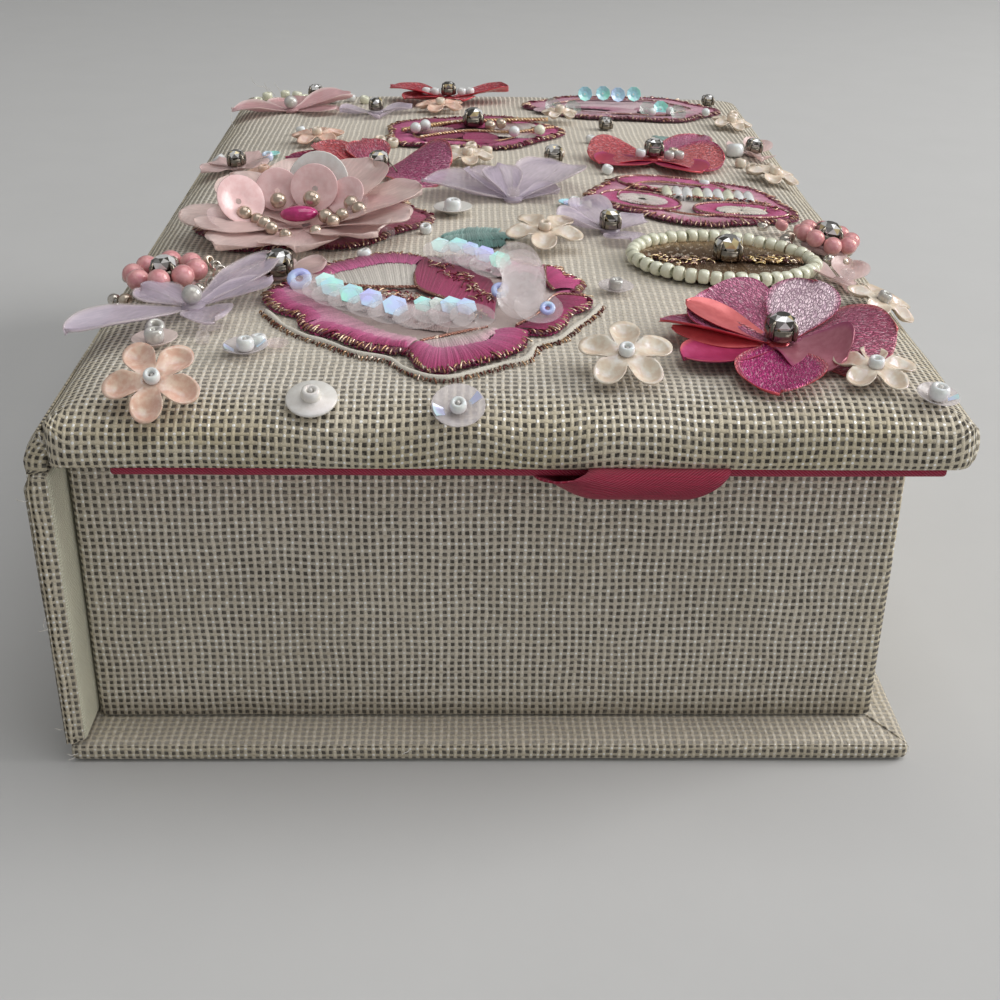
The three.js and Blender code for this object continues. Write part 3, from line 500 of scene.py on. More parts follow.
class Piece:
    def __init__(self, name):
        self.name = name
        self.points = []
        self.tones = []
        self.faces = []
        self.uvs = []
        self.slots = []
        self.flat = []
        self.materials = []
        self.count = 0

    def add(self, points, faces, material, uv=None, tone=(1, 1, 1), corner_uv=None, flat=False):
        """Adds points (n, 3) and faces of indices into them. uv is one pair a point, corner_uv one
        pair a face corner, tone one colour or one a point."""
        points = np.asarray(points, float).reshape(-1, 3)
        if material not in self.materials:
            self.materials.append(material)
        slot = self.materials.index(material)
        tones = np.asarray(tone, float)
        if tones.ndim == 1:
            tones = np.tile(tones, (len(points), 1))
        self.points.append(points)
        self.tones.append(tones)
        if corner_uv is None:
            pairs = np.zeros((len(points), 2)) if uv is None else np.asarray(uv, float)
            corner_uv = [pairs[i] for face in faces for i in face]
        self.uvs.extend(corner_uv)
        base = self.count
        self.faces.extend([tuple(base + i for i in face) for face in faces])
        self.slots.extend([slot] * len(faces))
        self.flat.extend([flat] * len(faces))
        self.count += len(points)

    def build(self, weld=False, sharp=None):
        mesh = bpy.data.meshes.new(self.name)
        mesh.from_pydata(np.concatenate(self.points) * MM, [], self.faces)
        layer = mesh.uv_layers.new(name="weave")
        layer.data.foreach_set("uv", np.asarray(self.uvs, np.float32).ravel())
        tones = mesh.attributes.new("tone", "FLOAT_COLOR", "POINT")
        colours = np.concatenate(self.tones)
        colours = np.hstack([colours, np.ones((len(colours), 1))])
        tones.data.foreach_set("color", colours.astype(np.float32).ravel())
        for material in self.materials:
            mesh.materials.append(material)
        mesh.polygons.foreach_set("material_index", self.slots)
        mesh.polygons.foreach_set("use_smooth", [not f for f in self.flat])
        if weld:
            bm = bmesh.new()
            bm.from_mesh(mesh)
            bmesh.ops.remove_doubles(bm, verts=bm.verts, dist=2e-6)
            bm.to_mesh(mesh)
            bm.free()
        if sharp is not None:
            mesh.set_sharp_from_angle(angle=math.radians(sharp))
        mesh.validate()
        mesh.update()
        o = bpy.data.objects.new(self.name, mesh)
        bpy.context.scene.collection.objects.link(o)
        return o


def dress(piece, body, nodes=(), weld=False, sharp=None):
    """Builds a piece, sets it on a body and lets it stand for CAD nodes."""
    o = piece.build(weld, sharp)
    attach(o, body)
    if nodes:
        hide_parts(*nodes)
    return o


def unit(way):
    return way / max(np.linalg.norm(way), 1e-9)


def cloth_uv(points):
    """Weave coordinates straight from the plan, for level faces."""
    return [(p[0] / THREAD_PITCH, p[1] / THREAD_PITCH) for p in points]


def grid_faces(rows, columns, flip=False, around=False):
    faces = []
    for i in range(rows - 1):
        for j in range(columns if around else columns - 1):
            k = (j + 1) % columns
            face = (i * columns + j, i * columns + k, (i + 1) * columns + k, (i + 1) * columns + j)
            faces.append(face[::-1] if flip else face)
    return faces


def turned(profile, sides):
    """Points and faces of a round solid about +Z from [radius, height] pairs. Pairs of zero radius
    become one point."""
    points, rings = [], []
    for radius, height in profile:
        if radius < 1e-9:
            rings.append([len(points)] * sides)
            points.append((0.0, 0.0, height))
            continue
        start = len(points)
        for i in range(sides):
            a = 2 * math.pi * i / sides
            points.append((radius * math.cos(a), radius * math.sin(a), height))
        rings.append(list(range(start, start + sides)))
    faces = []
    for low, high in zip(rings, rings[1:]):
        for i in range(sides):
            j = (i + 1) % sides
            face = []
            for index in (low[i], low[j], high[j], high[i]):
                if index not in face:
                    face.append(index)
            if len(face) > 2:
                faces.append(tuple(face))
    return np.array(points), faces


def tube(path, radius, sides=6, closed=False):
    """Points and faces of a tube along a path; radius is one number or one a point."""
    path = np.asarray(path, float)
    count = len(path)
    radii = np.full(count, radius, float) if np.isscalar(radius) else np.asarray(radius, float)
    points = []
    side = None
    for i in range(count):
        ahead = path[(i + 1) % count] if closed or i + 1 < count else path[i]
        behind = path[i - 1] if closed or i > 0 else path[i]
        way = unit(ahead - behind)
        if side is None:
            up = np.array([0, 0, 1.0]) if abs(way[2]) < 0.9 else np.array([1.0, 0, 0])
            side = np.cross(way, up)
        side = unit(side - way * (side @ way))
        other = np.cross(way, side)
        for k in range(sides):
            a = 2 * math.pi * k / sides
            points.append(path[i] + radii[i] * (math.cos(a) * side + math.sin(a) * other))
    faces = grid_faces(count, sides, around=True)
    if closed:
        last = (count - 1) * sides
        faces += [(last + k, last + (k + 1) % sides, (k + 1) % sides, k) for k in range(sides)]
    else:
        faces.append(tuple(range(sides))[::-1])
        faces.append(tuple((count - 1) * sides + k for k in range(sides)))
    return np.array(points), faces


def turn_about(axis, degrees):
    return np.array(Matrix.Rotation(math.radians(degrees), 3, axis))


def on_lid(x, y, lift=0.0):
    """Place and turn of a trimming at a place counted from the lid's middle."""
    px, py = LID_CENTRE_X + x, y
    slope_x = (lid_top(px + 1, py) - lid_top(px - 1, py)) / 2
    slope_y = (lid_top(px, py + 1) - lid_top(px, py - 1)) / 2
    normal = Vector((-slope_x, -slope_y, 1)).normalized()
    spin = np.array(Vector((0, 0, 1)).rotation_difference(normal).to_matrix())
    origin = np.array([px, py, lid_top(px, py)]) + lift * np.array(normal)
    return origin, spin


# The case: cloth over boards


def smooth_steps(low, high, rounding):
    """Coordinates from low to high, close together in the rounded ends."""
    ends = [rounding * s for s in (0, 0.3, 0.6, 1.0)]
    count = max(2, int((high - low - 2 * rounding) / BLOCK_STEP))
    middle = np.linspace(low + rounding, high - rounding, count + 1)[1:-1]
    return np.array([low + e for e in ends] + list(middle) + [high - e for e in ends[::-1]])


def covered_block(piece, low, high, rounding, material, uneven=0.12, sides=None, tone=None):
    """Rounded block whose six faces each carry the weave. sides picks another material for a face
    by its name, such as '+x'."""
    low, high = np.array(low, float), np.array(high, float)
    axes = [smooth_steps(low[k], high[k], rounding) for k in range(3)]
    for axis in range(3):
        a, b = [(1, 2), (2, 0), (0, 1)][axis]
        for end in (0, 1):
            name = ("+" if end else "-") + "xyz"[axis]
            points, uv, tones = [], [], []
            for s in axes[a]:
                for t in axes[b]:
                    p = np.zeros(3)
                    p[axis] = high[axis] if end else low[axis]
                    p[a], p[b] = s, t
                    core = np.clip(p, low + rounding, high - rounding)
                    away = unit(p - core)
                    q = core + rounding * away
                    q = q + away * wobble(*q, 14.0, uneven)
                    points.append(q)
                    uv.append(tuple(p[n] / THREAD_PITCH for n in range(3) if n != axis))
                    tones.append(tone(q) if tone else (0, 0, 0))
            faces = grid_faces(len(axes[a]), len(axes[b]), flip=bool(end))
            piece.add(points, faces, (sides or {}).get(name, material), uv=uv, tone=tones)


def edge_tone(q):
    """Rubbed, slightly yellowed board edges, dirt in patches at the ends."""
    x, y, z = q
    ends = max(0.0, 1 - (HALF_LENGTH - abs(y)) / 3.0)
    patchy = patches(x, y, z, 9)
    return (0.08 + 0.1 * patchy, 0.22 * patchy + 0.2 * ends, 0.25 * patchy * ends)


def loose_thread(piece, start, way, length, seed, radius=0.09):
    """A short frayed thread that wanders off a corner."""
    rng = random.Random(seed)
    path = [np.array(start, float)]
    direction = np.array(way, float)
    for _ in range(7):
        direction = direction / np.linalg.norm(direction) + np.array([rng.uniform(-0.5, 0.5) for _ in range(3)])
        path.append(path[-1] + direction / np.linalg.norm(direction) * length / 7)
    points, faces = tube(path, [radius * (1 - 0.06 * i) for i in range(8)], 5)
    piece.add(points, faces, PIPING, tone=LOOSE_TONE)


board = Piece("bottom_board_cloth")


def board_tone(q):
    """The top of the board shows paler gaps than its edges, partly from white card beneath and partly as
    painted light on its upward face.
    """
    pale, yellow, dirt_and_shade = edge_tone(q)
    return (0.62, 0.12, dirt_and_shade) if q[2] > BOARD_THICKNESS - 0.25 else (pale, yellow, dirt_and_shade)


covered_block(
    board, (-HALF_WIDTH, -HALF_LENGTH, 0), (HALF_WIDTH, HALF_LENGTH, BOARD_THICKNESS), BOARD_ROUNDING, CLOTH,
    tone=board_tone, uneven=0.1
)
for k, side in enumerate([-1, -1, -0.2, 1]):
    place = (side * (HALF_WIDTH - 0.6) + 0.6 * k * (side < -0.5), -HALF_LENGTH - 0.05, 0.9 + 0.7 * k)
    loose_thread(board, place, (0.4 * side, -1, -0.1), 2.0, 10 + k)

# The mitre of the cloth, a raised fold from the tray's corner to the board's
start = (TRAY_RIGHT - 0.4, -TRAY_HALF_LENGTH + 0.2)
goal = (HALF_WIDTH - 0.7, -HALF_LENGTH + 0.9)
fold = [
    (start[0] + (goal[0] - start[0]) * t, start[1] + (goal[1] - start[1]) * t,
     BOARD_THICKNESS + 0.06 - 0.25 * t**4)
    for t in np.linspace(0, 1, 9)
]
points, faces = tube(fold, [0.16 + 0.05 * math.sin(2.2 * k) for k in range(9)], 8)
board.add(points, faces, CLOTH, uv=cloth_uv(points), tone=(0.25, 0.25, 0.1))
dress(board, "base", ["bottom_board"], weld=True)

spine = Piece("spine_board_cloth")
covered_block(
    spine, (-HALF_WIDTH, -HALF_LENGTH, TRAY_BOTTOM), (-HALF_WIDTH + SPINE_THICKNESS, HALF_LENGTH, RIM_Z),
    BOARD_ROUNDING, CLOTH, sides={"+x": INNER_CLOTH}, tone=edge_tone
)
for k, z in enumerate([24.0, 25.5, 44.0, 6.0]):
    loose_thread(spine, (-HALF_WIDTH - 0.02, -HALF_LENGTH + 0.3, z), (-0.8, -0.6, -0.6), 2.4, 30 + k)
# The cloth gathered round the spine's two ends: its outline in plan, from the inner face outward
wrap = [
    (-61.0, -99.5), (-61.5, -100.1), (-62.0, -100.3), (-62.4, -99.95), (-62.75, -100.35), (-63.1, -100.3),
    (-63.3, -99.9), (-63.65, -100.2), (-63.95, -100.0), (-64.1, -99.4), (-64.0, -98.2), (-63.4, -94.5),
    (-62.8, -90.0), (-62.3, -86.0)
]
levels = np.linspace(TRAY_BOTTOM + 0.2, RIM_Z - 0.2, 26)
wrap_run = np.concatenate([[0], np.cumsum([math.dist(a, b) for a, b in zip(wrap, wrap[1:])])])
for end in (-1, 1):
    points, uv, tones = [], [], []
    for z in levels:
        share = (0.10 + 0.40 * z / RIM_Z) * (1.0 if end < 0 else 0.6)
        closing = min(max((z - RIM_Z + 1.6) / 1.4, 0.0), 1.0)
        share *= 1 - closing
        for k, (x, y) in enumerate(wrap):
            outward = max(0.0, -HALF_WIDTH - x)
            y_in = y + 1.1 * closing if y < -98 else y
            place = (
                x + outward * (1 - share) + wobble(k, z / 2, end, 5.0, 0.08),
                end * -y_in + wobble(z / 3, k, 3, 6.0, 0.06), z
            )
            points.append(place)
            uv.append((wrap_run[k] / THREAD_PITCH, z / THREAD_PITCH))
            # The wrap's two inward points are fold valleys: the tone's blue paints shade in them
            fold_valley_shade = 1.0 if k in (3, 6) else 0.0
            tones.append((0.02, 0.35, 0.2 + 0.7 * fold_valley_shade))
    spine.add(points, grid_faces(len(levels), len(wrap), flip=end < 0), CLOTH, uv=uv, tone=tones)
dress(spine, "base", ["spine_board"], weld=True)


def rounded_ring(x0, x1, y0, y1, radius, across, along):
    """Points round a rounded rectangle, counter-clockwise from its back right corner, with across
    steps on the ends and along steps on the sides."""
    ring = []
    corners = [(x1, y1, 0), (x0, y1, 1), (x0, y0, 2), (x1, y0, 3)]
    for (cx, cy, quarter), (nx, ny, _) in zip(corners, corners[1:] + corners[:1]):
        ax = cx - radius * (1 if cx == x1 else -1)
        ay = cy - radius * (1 if cy == y1 else -1)
        for i in range(4):
            angle = (quarter + i / 3) * math.pi / 2
            ring.append((ax + radius * math.cos(angle), ay + radius * math.sin(angle)))
        bx = nx - radius * (1 if nx == x1 else -1)
        by = ny - radius * (1 if ny == y1 else -1)
        start = ring[-1]
        goal = (start[0], by) if quarter % 2 else (bx, start[1])
        count = along if quarter % 2 else across
        for i in range(1, count):
            share = i / count
            ring.append((start[0] + (goal[0] - start[0]) * share, start[1] + (goal[1] - start[1]) * share))
    return ring


def make_tray():
    piece = Piece("tray_cloth")
    wall_x = (TRAY_LEFT, TRAY_RIGHT)

    def ring(inset, radius):
        return rounded_ring(
            wall_x[0] + inset, wall_x[1] - inset, -TRAY_HALF_LENGTH + inset, TRAY_HALF_LENGTH - inset, radius,
            30, 46
        )

    def wall(levels, material, inside, tone):
        rows = []
        for inset, z, radius in levels:
            rows.append([(x, y, z) for x, y in ring(inset, radius)])
        count = len(rows[0])
        points, tones = [], []
        for row in rows:
            for x, y, z in row:
                push = wobble(x, y, z, 22.0, 0.16)
                if abs(x - wall_x[0]) < 3.5 or abs(x - wall_x[1]) < 3.5:
                    points.append((x + push * (0.4 if inside else 1), y, z))
                else:
                    points.append((x, y + push, z))
                tones.append(tone(x, y, z))
        faces, corner_uv = [], []
        for face in grid_faces(len(rows), count, around=True, flip=inside):
            mean = np.mean([points[i] for i in face], axis=0)
            lengthways = min(abs(mean[0] - wall_x[0]), abs(mean[0] - wall_x[1])) < min(
                abs(mean[1] + TRAY_HALF_LENGTH), abs(mean[1] - TRAY_HALF_LENGTH)
            )
            faces.append(face)
            for i in face:
                x, y, z = points[i]
                corner_uv.append(((y if lengthways else x) / THREAD_PITCH, z / THREAD_PITCH))
        piece.add(points, faces, material, corner_uv=corner_uv, tone=tones)

    def outer_tone(x, y, z):
        patchy = patches(x, y, z, 13)
        # Blue near the foot: painted shade where the tray stands on the board
        low = max(0.0, 1 - (z - TRAY_BOTTOM) / 1.2)
        edge = max(0.0, 1 - (TRAY_RIGHT - x) / 2.0) if y < 0 else 0.0
        return (0.05 + 0.12 * patchy, 0.14 * patchy + 0.5 * edge, 0.9 * low)

    heights = np.linspace(TRAY_BOTTOM, RIM_Z - 0.7, 12)
    outside = [(0.35, TRAY_BOTTOM, 1.0), (0.0, TRAY_BOTTOM + 0.35, 1.2)]
    outside += [(0.0, z, 1.2) for z in heights[1:]] + [(0.2, RIM_Z - 0.25, 1.2), (0.6, RIM_Z, 1.2)]
    wall(outside, CLOTH, False, outer_tone)
    rim = [
        (0.6, RIM_Z, 1.2), (1.9, RIM_Z, 0.8), (TRAY_WALL - 0.1, RIM_Z - 0.4, 0.6), (TRAY_WALL, RIM_Z - 1.2, 0.6)
    ]
    wall(rim, SATIN, False, lambda x, y, z: (1, 1, 1))
    inside = [(TRAY_WALL, z, 0.6) for z in np.linspace(RIM_Z - 1.2, TRAY_BOTTOM + TRAY_FLOOR, 8)]
    wall(inside, SATIN, False, lambda x, y, z: (1, 1, 1))
    x0, x1 = wall_x[0] + TRAY_WALL - 0.02, wall_x[1] - TRAY_WALL + 0.02
    y1 = TRAY_HALF_LENGTH - TRAY_WALL + 0.02
    for z, material, flip in [(TRAY_BOTTOM + TRAY_FLOOR, SATIN, False), (TRAY_BOTTOM + 0.01, CLOTH, True)]:
        xs, ys = np.linspace(x0, x1, 16), np.linspace(-y1, y1, 24)
        points = [(x, y, z + (0 if flip else wobble(x, y, 3.0, 20, 0.12))) for x in xs for y in ys]
        piece.add(points, grid_faces(len(xs), len(ys), flip=not flip), material, uv=cloth_uv(points))
    dress(piece, "base", ["tray"], weld=True, sharp=50)


make_tray()


# The padded lid


def arc_map(half, reach):
    """Distance along the cloth for a distance from the middle, over the puffed edge."""
    table = np.linspace(0, 1, 60)
    rise = LID_PUFF * np.sqrt(1 - (1 - table[::-1]) ** 2)
    out = half - reach + table * reach
    run = np.concatenate([[0], np.cumsum(np.hypot(np.diff(out), np.diff(rise)))])

    def length(value):
        side = -1 if value < 0 else 1
        value = abs(value)
        if value <= half - reach:
            return side * value
        return side * (half - reach + np.interp(value - (half - reach), table * reach, run))

    return length


def graded(half, reach, step):
    """Coordinates over -half to half, close together over the puffed edge."""
    edge = half - reach * (1 - np.cos(np.linspace(0, math.pi / 2, 11)))
    count = int(2 * (half - reach) / step)
    middle = np.linspace(-(half - reach), half - reach, count + 1)[1:-1]
    return np.concatenate([-edge, middle, edge[::-1]])


def make_lid():
    piece = Piece("lid_cloth")
    rim_swell, swell_reach, hinge_drop = 0.85, 4.0, 3.2
    xs = graded(LID_HALF_WIDTH, LID_PUFF_REACH, LID_STEP)
    ys = graded(HALF_LENGTH, LID_PUFF_REACH, LID_STEP)
    arc_x, arc_y = arc_map(LID_HALF_WIDTH, LID_PUFF_REACH), arc_map(HALF_LENGTH, LID_PUFF_REACH)

    def outline(x, y, shrink=0.0):
        """Pulls a place near a corner onto the rounded corner."""
        hx, hy = LID_HALF_WIDTH - shrink, HALF_LENGTH - shrink
        x, y = max(-hx, min(hx, x)), max(-hy, min(hy, y))
        dx, dy = abs(x) - (hx - LID_CORNER), abs(y) - (hy - LID_CORNER)
        if dx > 0 and dy > 0:
            reach = max(dx, dy)
            scale = reach / math.hypot(dx, dy)
            x = math.copysign(hx - LID_CORNER + dx * scale, x)
            y = math.copysign(hy - LID_CORNER + dy * scale, y)
        return x, y

    def tone(x, y, z):
        inner = min(LID_HALF_WIDTH - abs(x), HALF_LENGTH - abs(y))
        # Pale gaps on the padded top: partly the white wadding beneath, partly painted light on the top
        top = min(max((inner - 4) / 22, 0), 1)
        patchy = patches(x, y, z, 16)
        edge = max(0.0, 1 - inner / 7)
        return (0.04 + 0.86 * top**0.8, (0.15 + 0.65 * patchy) * edge, 0.18 * edge * patchy)

    def swell(x, y, amount):
        """Moves a place near the rim outward, though not over the hinge."""
        gx = max(0.0, 1 - (LID_HALF_WIDTH - x) / swell_reach)
        gy = math.copysign(max(0.0, 1 - (HALF_LENGTH - abs(y)) / swell_reach), y)
        reach = math.hypot(gx, gy)
        share = max(gx, abs(gy)) ** 2
        if reach < 1e-6:
            return 0.0, 0.0
        return gx / reach * share * amount, gy / reach * share * amount

    def ripple_at(x):
        """Drift of the threads where the cloth was pulled over the edge."""
        return 0.40 * math.sin(x / 6.0 + 2.2 * math.sin(x / 17.0))

    points, uv, tones = [], [], []
    for x in xs:
        for y in ys:
            ox, oy = outline(x, y)
            px, py = swell(x, y, rim_swell)
            z = lid_top(ox + LID_CENTRE_X, oy)
            edge = max(0.0, 1 - min(LID_HALF_WIDTH - abs(x), HALF_LENGTH - abs(y)) / 12)
            z += wobble(ox, oy, 0, 17.0, 0.10 + 0.45 * edge)
            points.append((ox + px + LID_CENTRE_X, oy + py, z))
            ripple = ripple_at(ox) * edge
            uv.append((arc_x(x) / THREAD_PITCH, (arc_y(y) + ripple) / THREAD_PITCH))
            tones.append(tone(x, y, z))
    rows, columns = len(xs), len(ys)
    piece.add(points, grid_faces(rows, columns, flip=True), CLOTH, uv=uv, tone=tones)
    loop = [(i, 0) for i in range(rows)] + [(rows - 1, j) for j in range(1, columns)]
    loop += [(i, columns - 1) for i in range(rows - 2, -1, -1)] + [(0, j) for j in range(columns - 2, 0, -1)]
    # Down the side and under the rim: how far in from the lid's edge, and how far down
    drops = [
        (-0.85, 0), (-1.12, 0.8), (-1.25, 1.7), (-1.25, 2.6), (-1.08, 3.4), (-0.7, 4.0), (-0.25, 4.2),
        (0.15, 3.95), (0.35, 3.5), (2.0, 3.5), (5.0, 3.5)
    ]
    runs = np.cumsum([0.0] + [math.dist(a, b) for a, b in zip(drops, drops[1:])])
    side_points, side_tones = [], []
    for k, (inset, drop) in enumerate(drops):
        for i, j in loop:
            base = points[i * columns + j]
            drop_here = min(drop, hinge_drop) if i == 0 else drop
            ox, oy = outline(xs[i], ys[j], max(inset, 0.0))
            level = base[2] - drop_here * (base[2] - LID_Z) / LID_EDGE_HEIGHT
            bulge = wobble(ox, oy, drop, 15.0, 0.22) * min(1.0, k / 3, max(0.0, (7 - k) / 2))
            px, py = swell(xs[i], ys[j], max(-inset, 0.0) + bulge)
            side_points.append((ox + LID_CENTRE_X + px, oy + py, level))
            patchy = 0.5 + 0.5 * noise.noise(Vector((ox / 11, oy / 11, drop / 5)))
            side_tones.append((0.03, 0.15 + 0.65 * patchy, 0.18 * patchy))
    count = len(loop)
    faces, corner_uv = [], []
    for k in range(len(drops) - 1):
        for n in range(count):
            m = (n + 1) % count
            faces.append((k * count + m, k * count + n, (k + 1) * count + n, (k + 1) * count + m))
            ends = loop[n][1] == loop[m][1] and loop[n][1] in (0, columns - 1)
            for index, level in ((m, k), (n, k), (n, k + 1), (m, k + 1)):
                i, j = loop[index]
                if ends:
                    pair = (arc_x(xs[i]), math.copysign(abs(arc_y(ys[j])) + runs[level], ys[j]))
                else:
                    pair = (math.copysign(abs(arc_x(xs[i])) + runs[level], xs[i]), arc_y(ys[j]))
                pair = (pair[0], pair[1] + ripple_at(outline(xs[i], ys[j])[0]))
                corner_uv.append((pair[0] / THREAD_PITCH, pair[1] / THREAD_PITCH))
    piece.add(side_points, faces, CLOTH, corner_uv=corner_uv, tone=side_tones)
    under = side_points[-count:]
    piece.add(under, [tuple(range(count))[::-1]], INNER_CLOTH, uv=[(p[0], p[1]) for p in under])
    for k, (side, end) in enumerate([(-1, -1), (-1, -1), (1, 1), (-0.45, 1)]):
        place = (LID_CENTRE_X + side * (LID_HALF_WIDTH - 0.9), end * (HALF_LENGTH - 0.9), LID_Z + 2.2 + 0.5 * k)
        loose_thread(piece, place, (0.6 * side, 0.6 * end, 0.5), 2.2, 50 + k)
    o = dress(piece, "lid", ["lid"], weld=True)


make_lid()

lining = Piece("lid_lining_satin")
LINING_LEFT = LID_LEFT + LINING_HINGE_SETBACK - 2 * SEAM
covered_block(
    lining, (LINING_LEFT, -HALF_LENGTH - LINING_PROUD, LINING_Z),
    (LID_RIGHT - LINING_FREE_SETBACK, HALF_LENGTH + LINING_PROUD, LINING_Z + LINING_THICKNESS), 0.6, SATIN,
    uneven=0.1
)
dress(lining, "lid", ["lid_lining"], weld=True)

# Trimmings: beads, sequins, stones and petals


def move(points, origin, spin=None):
    points = np.asarray(points, float)
    if spin is not None:
        points = points @ np.asarray(spin).T
    return points + np.asarray(origin, float)


def add_turned(piece, profile, sides, material, origin, spin=None, tone=(1, 1, 1), flat=False):
    points, faces = turned(profile, sides)
    uv = np.stack([points[:, 0], points[:, 1]], axis=1)
    piece.add(move(points, origin, spin), faces, material, uv=uv, tone=tone, flat=flat)


def ball_profile(radius, squash, steps):
    return [
        (radius * math.sin(math.pi * k / steps), radius * squash * (1 - math.cos(math.pi * k / steps)))
        for k in range(steps + 1)
    ]


def ring_bead_profile(radius, height):
    """Cut through a seed bead: a fat rounded ring that closes on itself."""
    middle, half = radius * (1 + BEAD_HOLE) / 2, radius * (1 - BEAD_HOLE) / 2
    return [
        (middle + half * math.copysign(abs(math.cos(a)) ** 0.8, math.cos(a)),
         height / 2 + height / 2 * math.sin(a))
        for a in (2 * math.pi * k / 10 - math.pi / 2 for k in range(11))
    ]


def seed_bead(piece, origin, material, diameter=2.2, spin=None, tone=(1, 1, 1), height=None):
    """Glass seed bead that stands on its hole, or lies the way spin turns it."""
    add_turned(
        piece, ring_bead_profile(diameter / 2, height or diameter * 0.72), 14, material, origin, spin, tone
    )


def pearl(piece, origin, material, diameter, spin=None):
    add_turned(piece, ball_profile(diameter / 2, 0.95, 9), 16, material, origin, spin)


def seat(origin, spin, x, y, z):
    """A place counted from a trimming's own middle, the way it is turned."""
    return origin + spin @ np.array([x, y, z])


# Diameters of the stones that are smaller than the common one
STONE_SIZES = {
    "foil_flower_right": 4.1, "foil_flower_left": 4.2, "foil_flower_back": 3.8, "lavender_flower_right": 3.9,
    "lavender_flower_far_left": 3.8, "lavender_flower_back": 3.5, "pink_flower_far_right": 3.5,
    "rhinestone_1": 3.9, "rhinestone_2": 3.7, "rhinestone_3": 3.2, "rhinestone_4": 3.0
}

# Painted reflections for the facets: light, dark, amber and grey, as often as they are listed
DARK_REFLECTION = (0.07, 0.065, 0.055)
FACET_REFLECTIONS = [(1, 1, 1)] * 3 + [DARK_REFLECTION] * 2 + [(0.80, 0.66, 0.36), (0.30, 0.29, 0.28)]


def rhinestone(piece, origin, spin=None, diameter=None, height=None):
    """Cut stone in a four-pronged cup."""
    owner = piece.name.removesuffix("_petals").removesuffix("_setting")
    share = STONE_SIZES.get(owner, STONE_DIAMETER) / STONE_DIAMETER
    diameter = diameter or STONE_DIAMETER * share
    height = height or STONE_HEIGHT * share
    r, h = diameter / 2, height
    add_turned(
        piece,
        [
            (0, 0.0), (r * 0.80, 0.0), (r * 0.98, h * 0.10), (r * 1.0, h * 0.50), (r * 0.90, h * 0.50),
            (r * 0.7, h * 0.3), (0, h * 0.3)
        ],
        16, PRONG, origin, spin
    )
    rings = [(r * 0.72, h * 0.36), (r * 0.96, h * 0.62), (r * 0.80, h * 0.86), (r * 0.45, h * 1.0)]
    n = STONE_SIDES
    points, faces = [], []
    for k, (radius, z) in enumerate(rings):
        for i in range(n):
            a = 2 * math.pi * (i + 0.5 * (k % 2)) / n
            points.append((radius * math.cos(a), radius * math.sin(a), z))
    for k in range(len(rings) - 1):
        for i in range(n):
            j = (i + 1) % n
            a, b, c, d = k * n + i, k * n + j, (k + 1) * n + i, (k + 1) * n + j
            faces += [(a, b, d), (a, d, c)] if k % 2 else [(a, b, c), (b, d, c)]
    faces.append(tuple((len(rings) - 1) * n + i for i in range(n)))
    corners = move(points, origin, spin)
    rng = random.Random(int(1000 * corners[0][0]) + int(77 * corners[0][1]))
    # Each facet gets a painted reflection of its own
    for face in faces:
        shine = rng.choice(FACET_REFLECTIONS)
        piece.add(corners[list(face)], [tuple(range(len(face)))], CRYSTAL, flat=True, tone=shine)
    for i in range(4):
        a = math.pi / 4 + i * math.pi / 2
        path = [
            (f * r * math.cos(a), f * r * math.sin(a), z * h)
            for f, z in [(0.98, 0.12), (1.06, 0.42), (1.0, 0.66), (0.78, 0.84)]
        ]
        points, faces = tube(path, [0.42, 0.40, 0.36, 0.22], 6)
        piece.add(move(points, origin, spin), faces, PRONG)


def stitch(piece, start, end, radius=0.11, rise=0.0, material=None, tone=(0.80, 0.78, 0.74)):
    """Short thread between two points."""
    a, b = np.array(start, float), np.array(end, float)
    path = [a + (b - a) * s + np.array([0, 0, rise * math.sin(math.pi * s)]) for s in np.linspace(0, 1, 5)]
    points, faces = tube(path, radius, 5)
    piece.add(points, faces, material or PIPING, tone=tone)


def sheet_of(
    piece, grid, thickness, over, under, tone=(1, 1, 1), tone_under=None, uv=None, origin=None, spin=None
):
    """Closed thin sheet from a grid of points (rows, columns, 3): its top carries one material and
    its underside and rim another."""
    grid = np.asarray(grid, float)
    rows, columns = grid.shape[:2]
    du = np.gradient(grid, axis=0)
    dv = np.gradient(grid, axis=1)
    normal = np.cross(du, dv)
    normal /= np.maximum(np.linalg.norm(normal, axis=2, keepdims=True), 1e-9)
    top = grid.reshape(-1, 3)
    low = (grid - normal * thickness).reshape(-1, 3)
    if uv is None:
        uv = np.stack([top[:, 0], top[:, 1]], axis=1)
    if origin is not None:
        top, low = move(top, origin, spin), move(low, origin, spin)
    tone = np.asarray(tone, float)
    tone = np.tile(tone, (rows * columns, 1)) if tone.ndim == 1 else tone.reshape(-1, 3)
    tone_under = tone if tone_under is None else np.asarray(tone_under, float)
    tone_under = np.tile(tone_under, (rows * columns, 1)) if tone_under.ndim == 1 else tone_under.reshape(-1, 3)
    piece.add(top, grid_faces(rows, columns, flip=True), over, uv=uv, tone=tone)
    count = rows * columns
    faces = grid_faces(rows, columns)
    border = list(range(columns)) + [i * columns + columns - 1 for i in range(1, rows)]
    border += [(rows - 1) * columns + j for j in range(columns - 2, -1, -1)]
    border += [i * columns for i in range(rows - 2, 0, -1)]
    faces += [(b, a, count + a, count + b) for a, b in zip(border, border[1:] + border[:1])]
    points, uvs, tones = np.vstack([low, top]), np.vstack([uv, uv]), np.vstack([tone_under, tone_under])
    piece.add(points, faces, under, uv=uvs, tone=tones)


def smooth_share(x):
    x = min(max(x, 0.0), 1.0)
    return x * x * (3 - 2 * x)


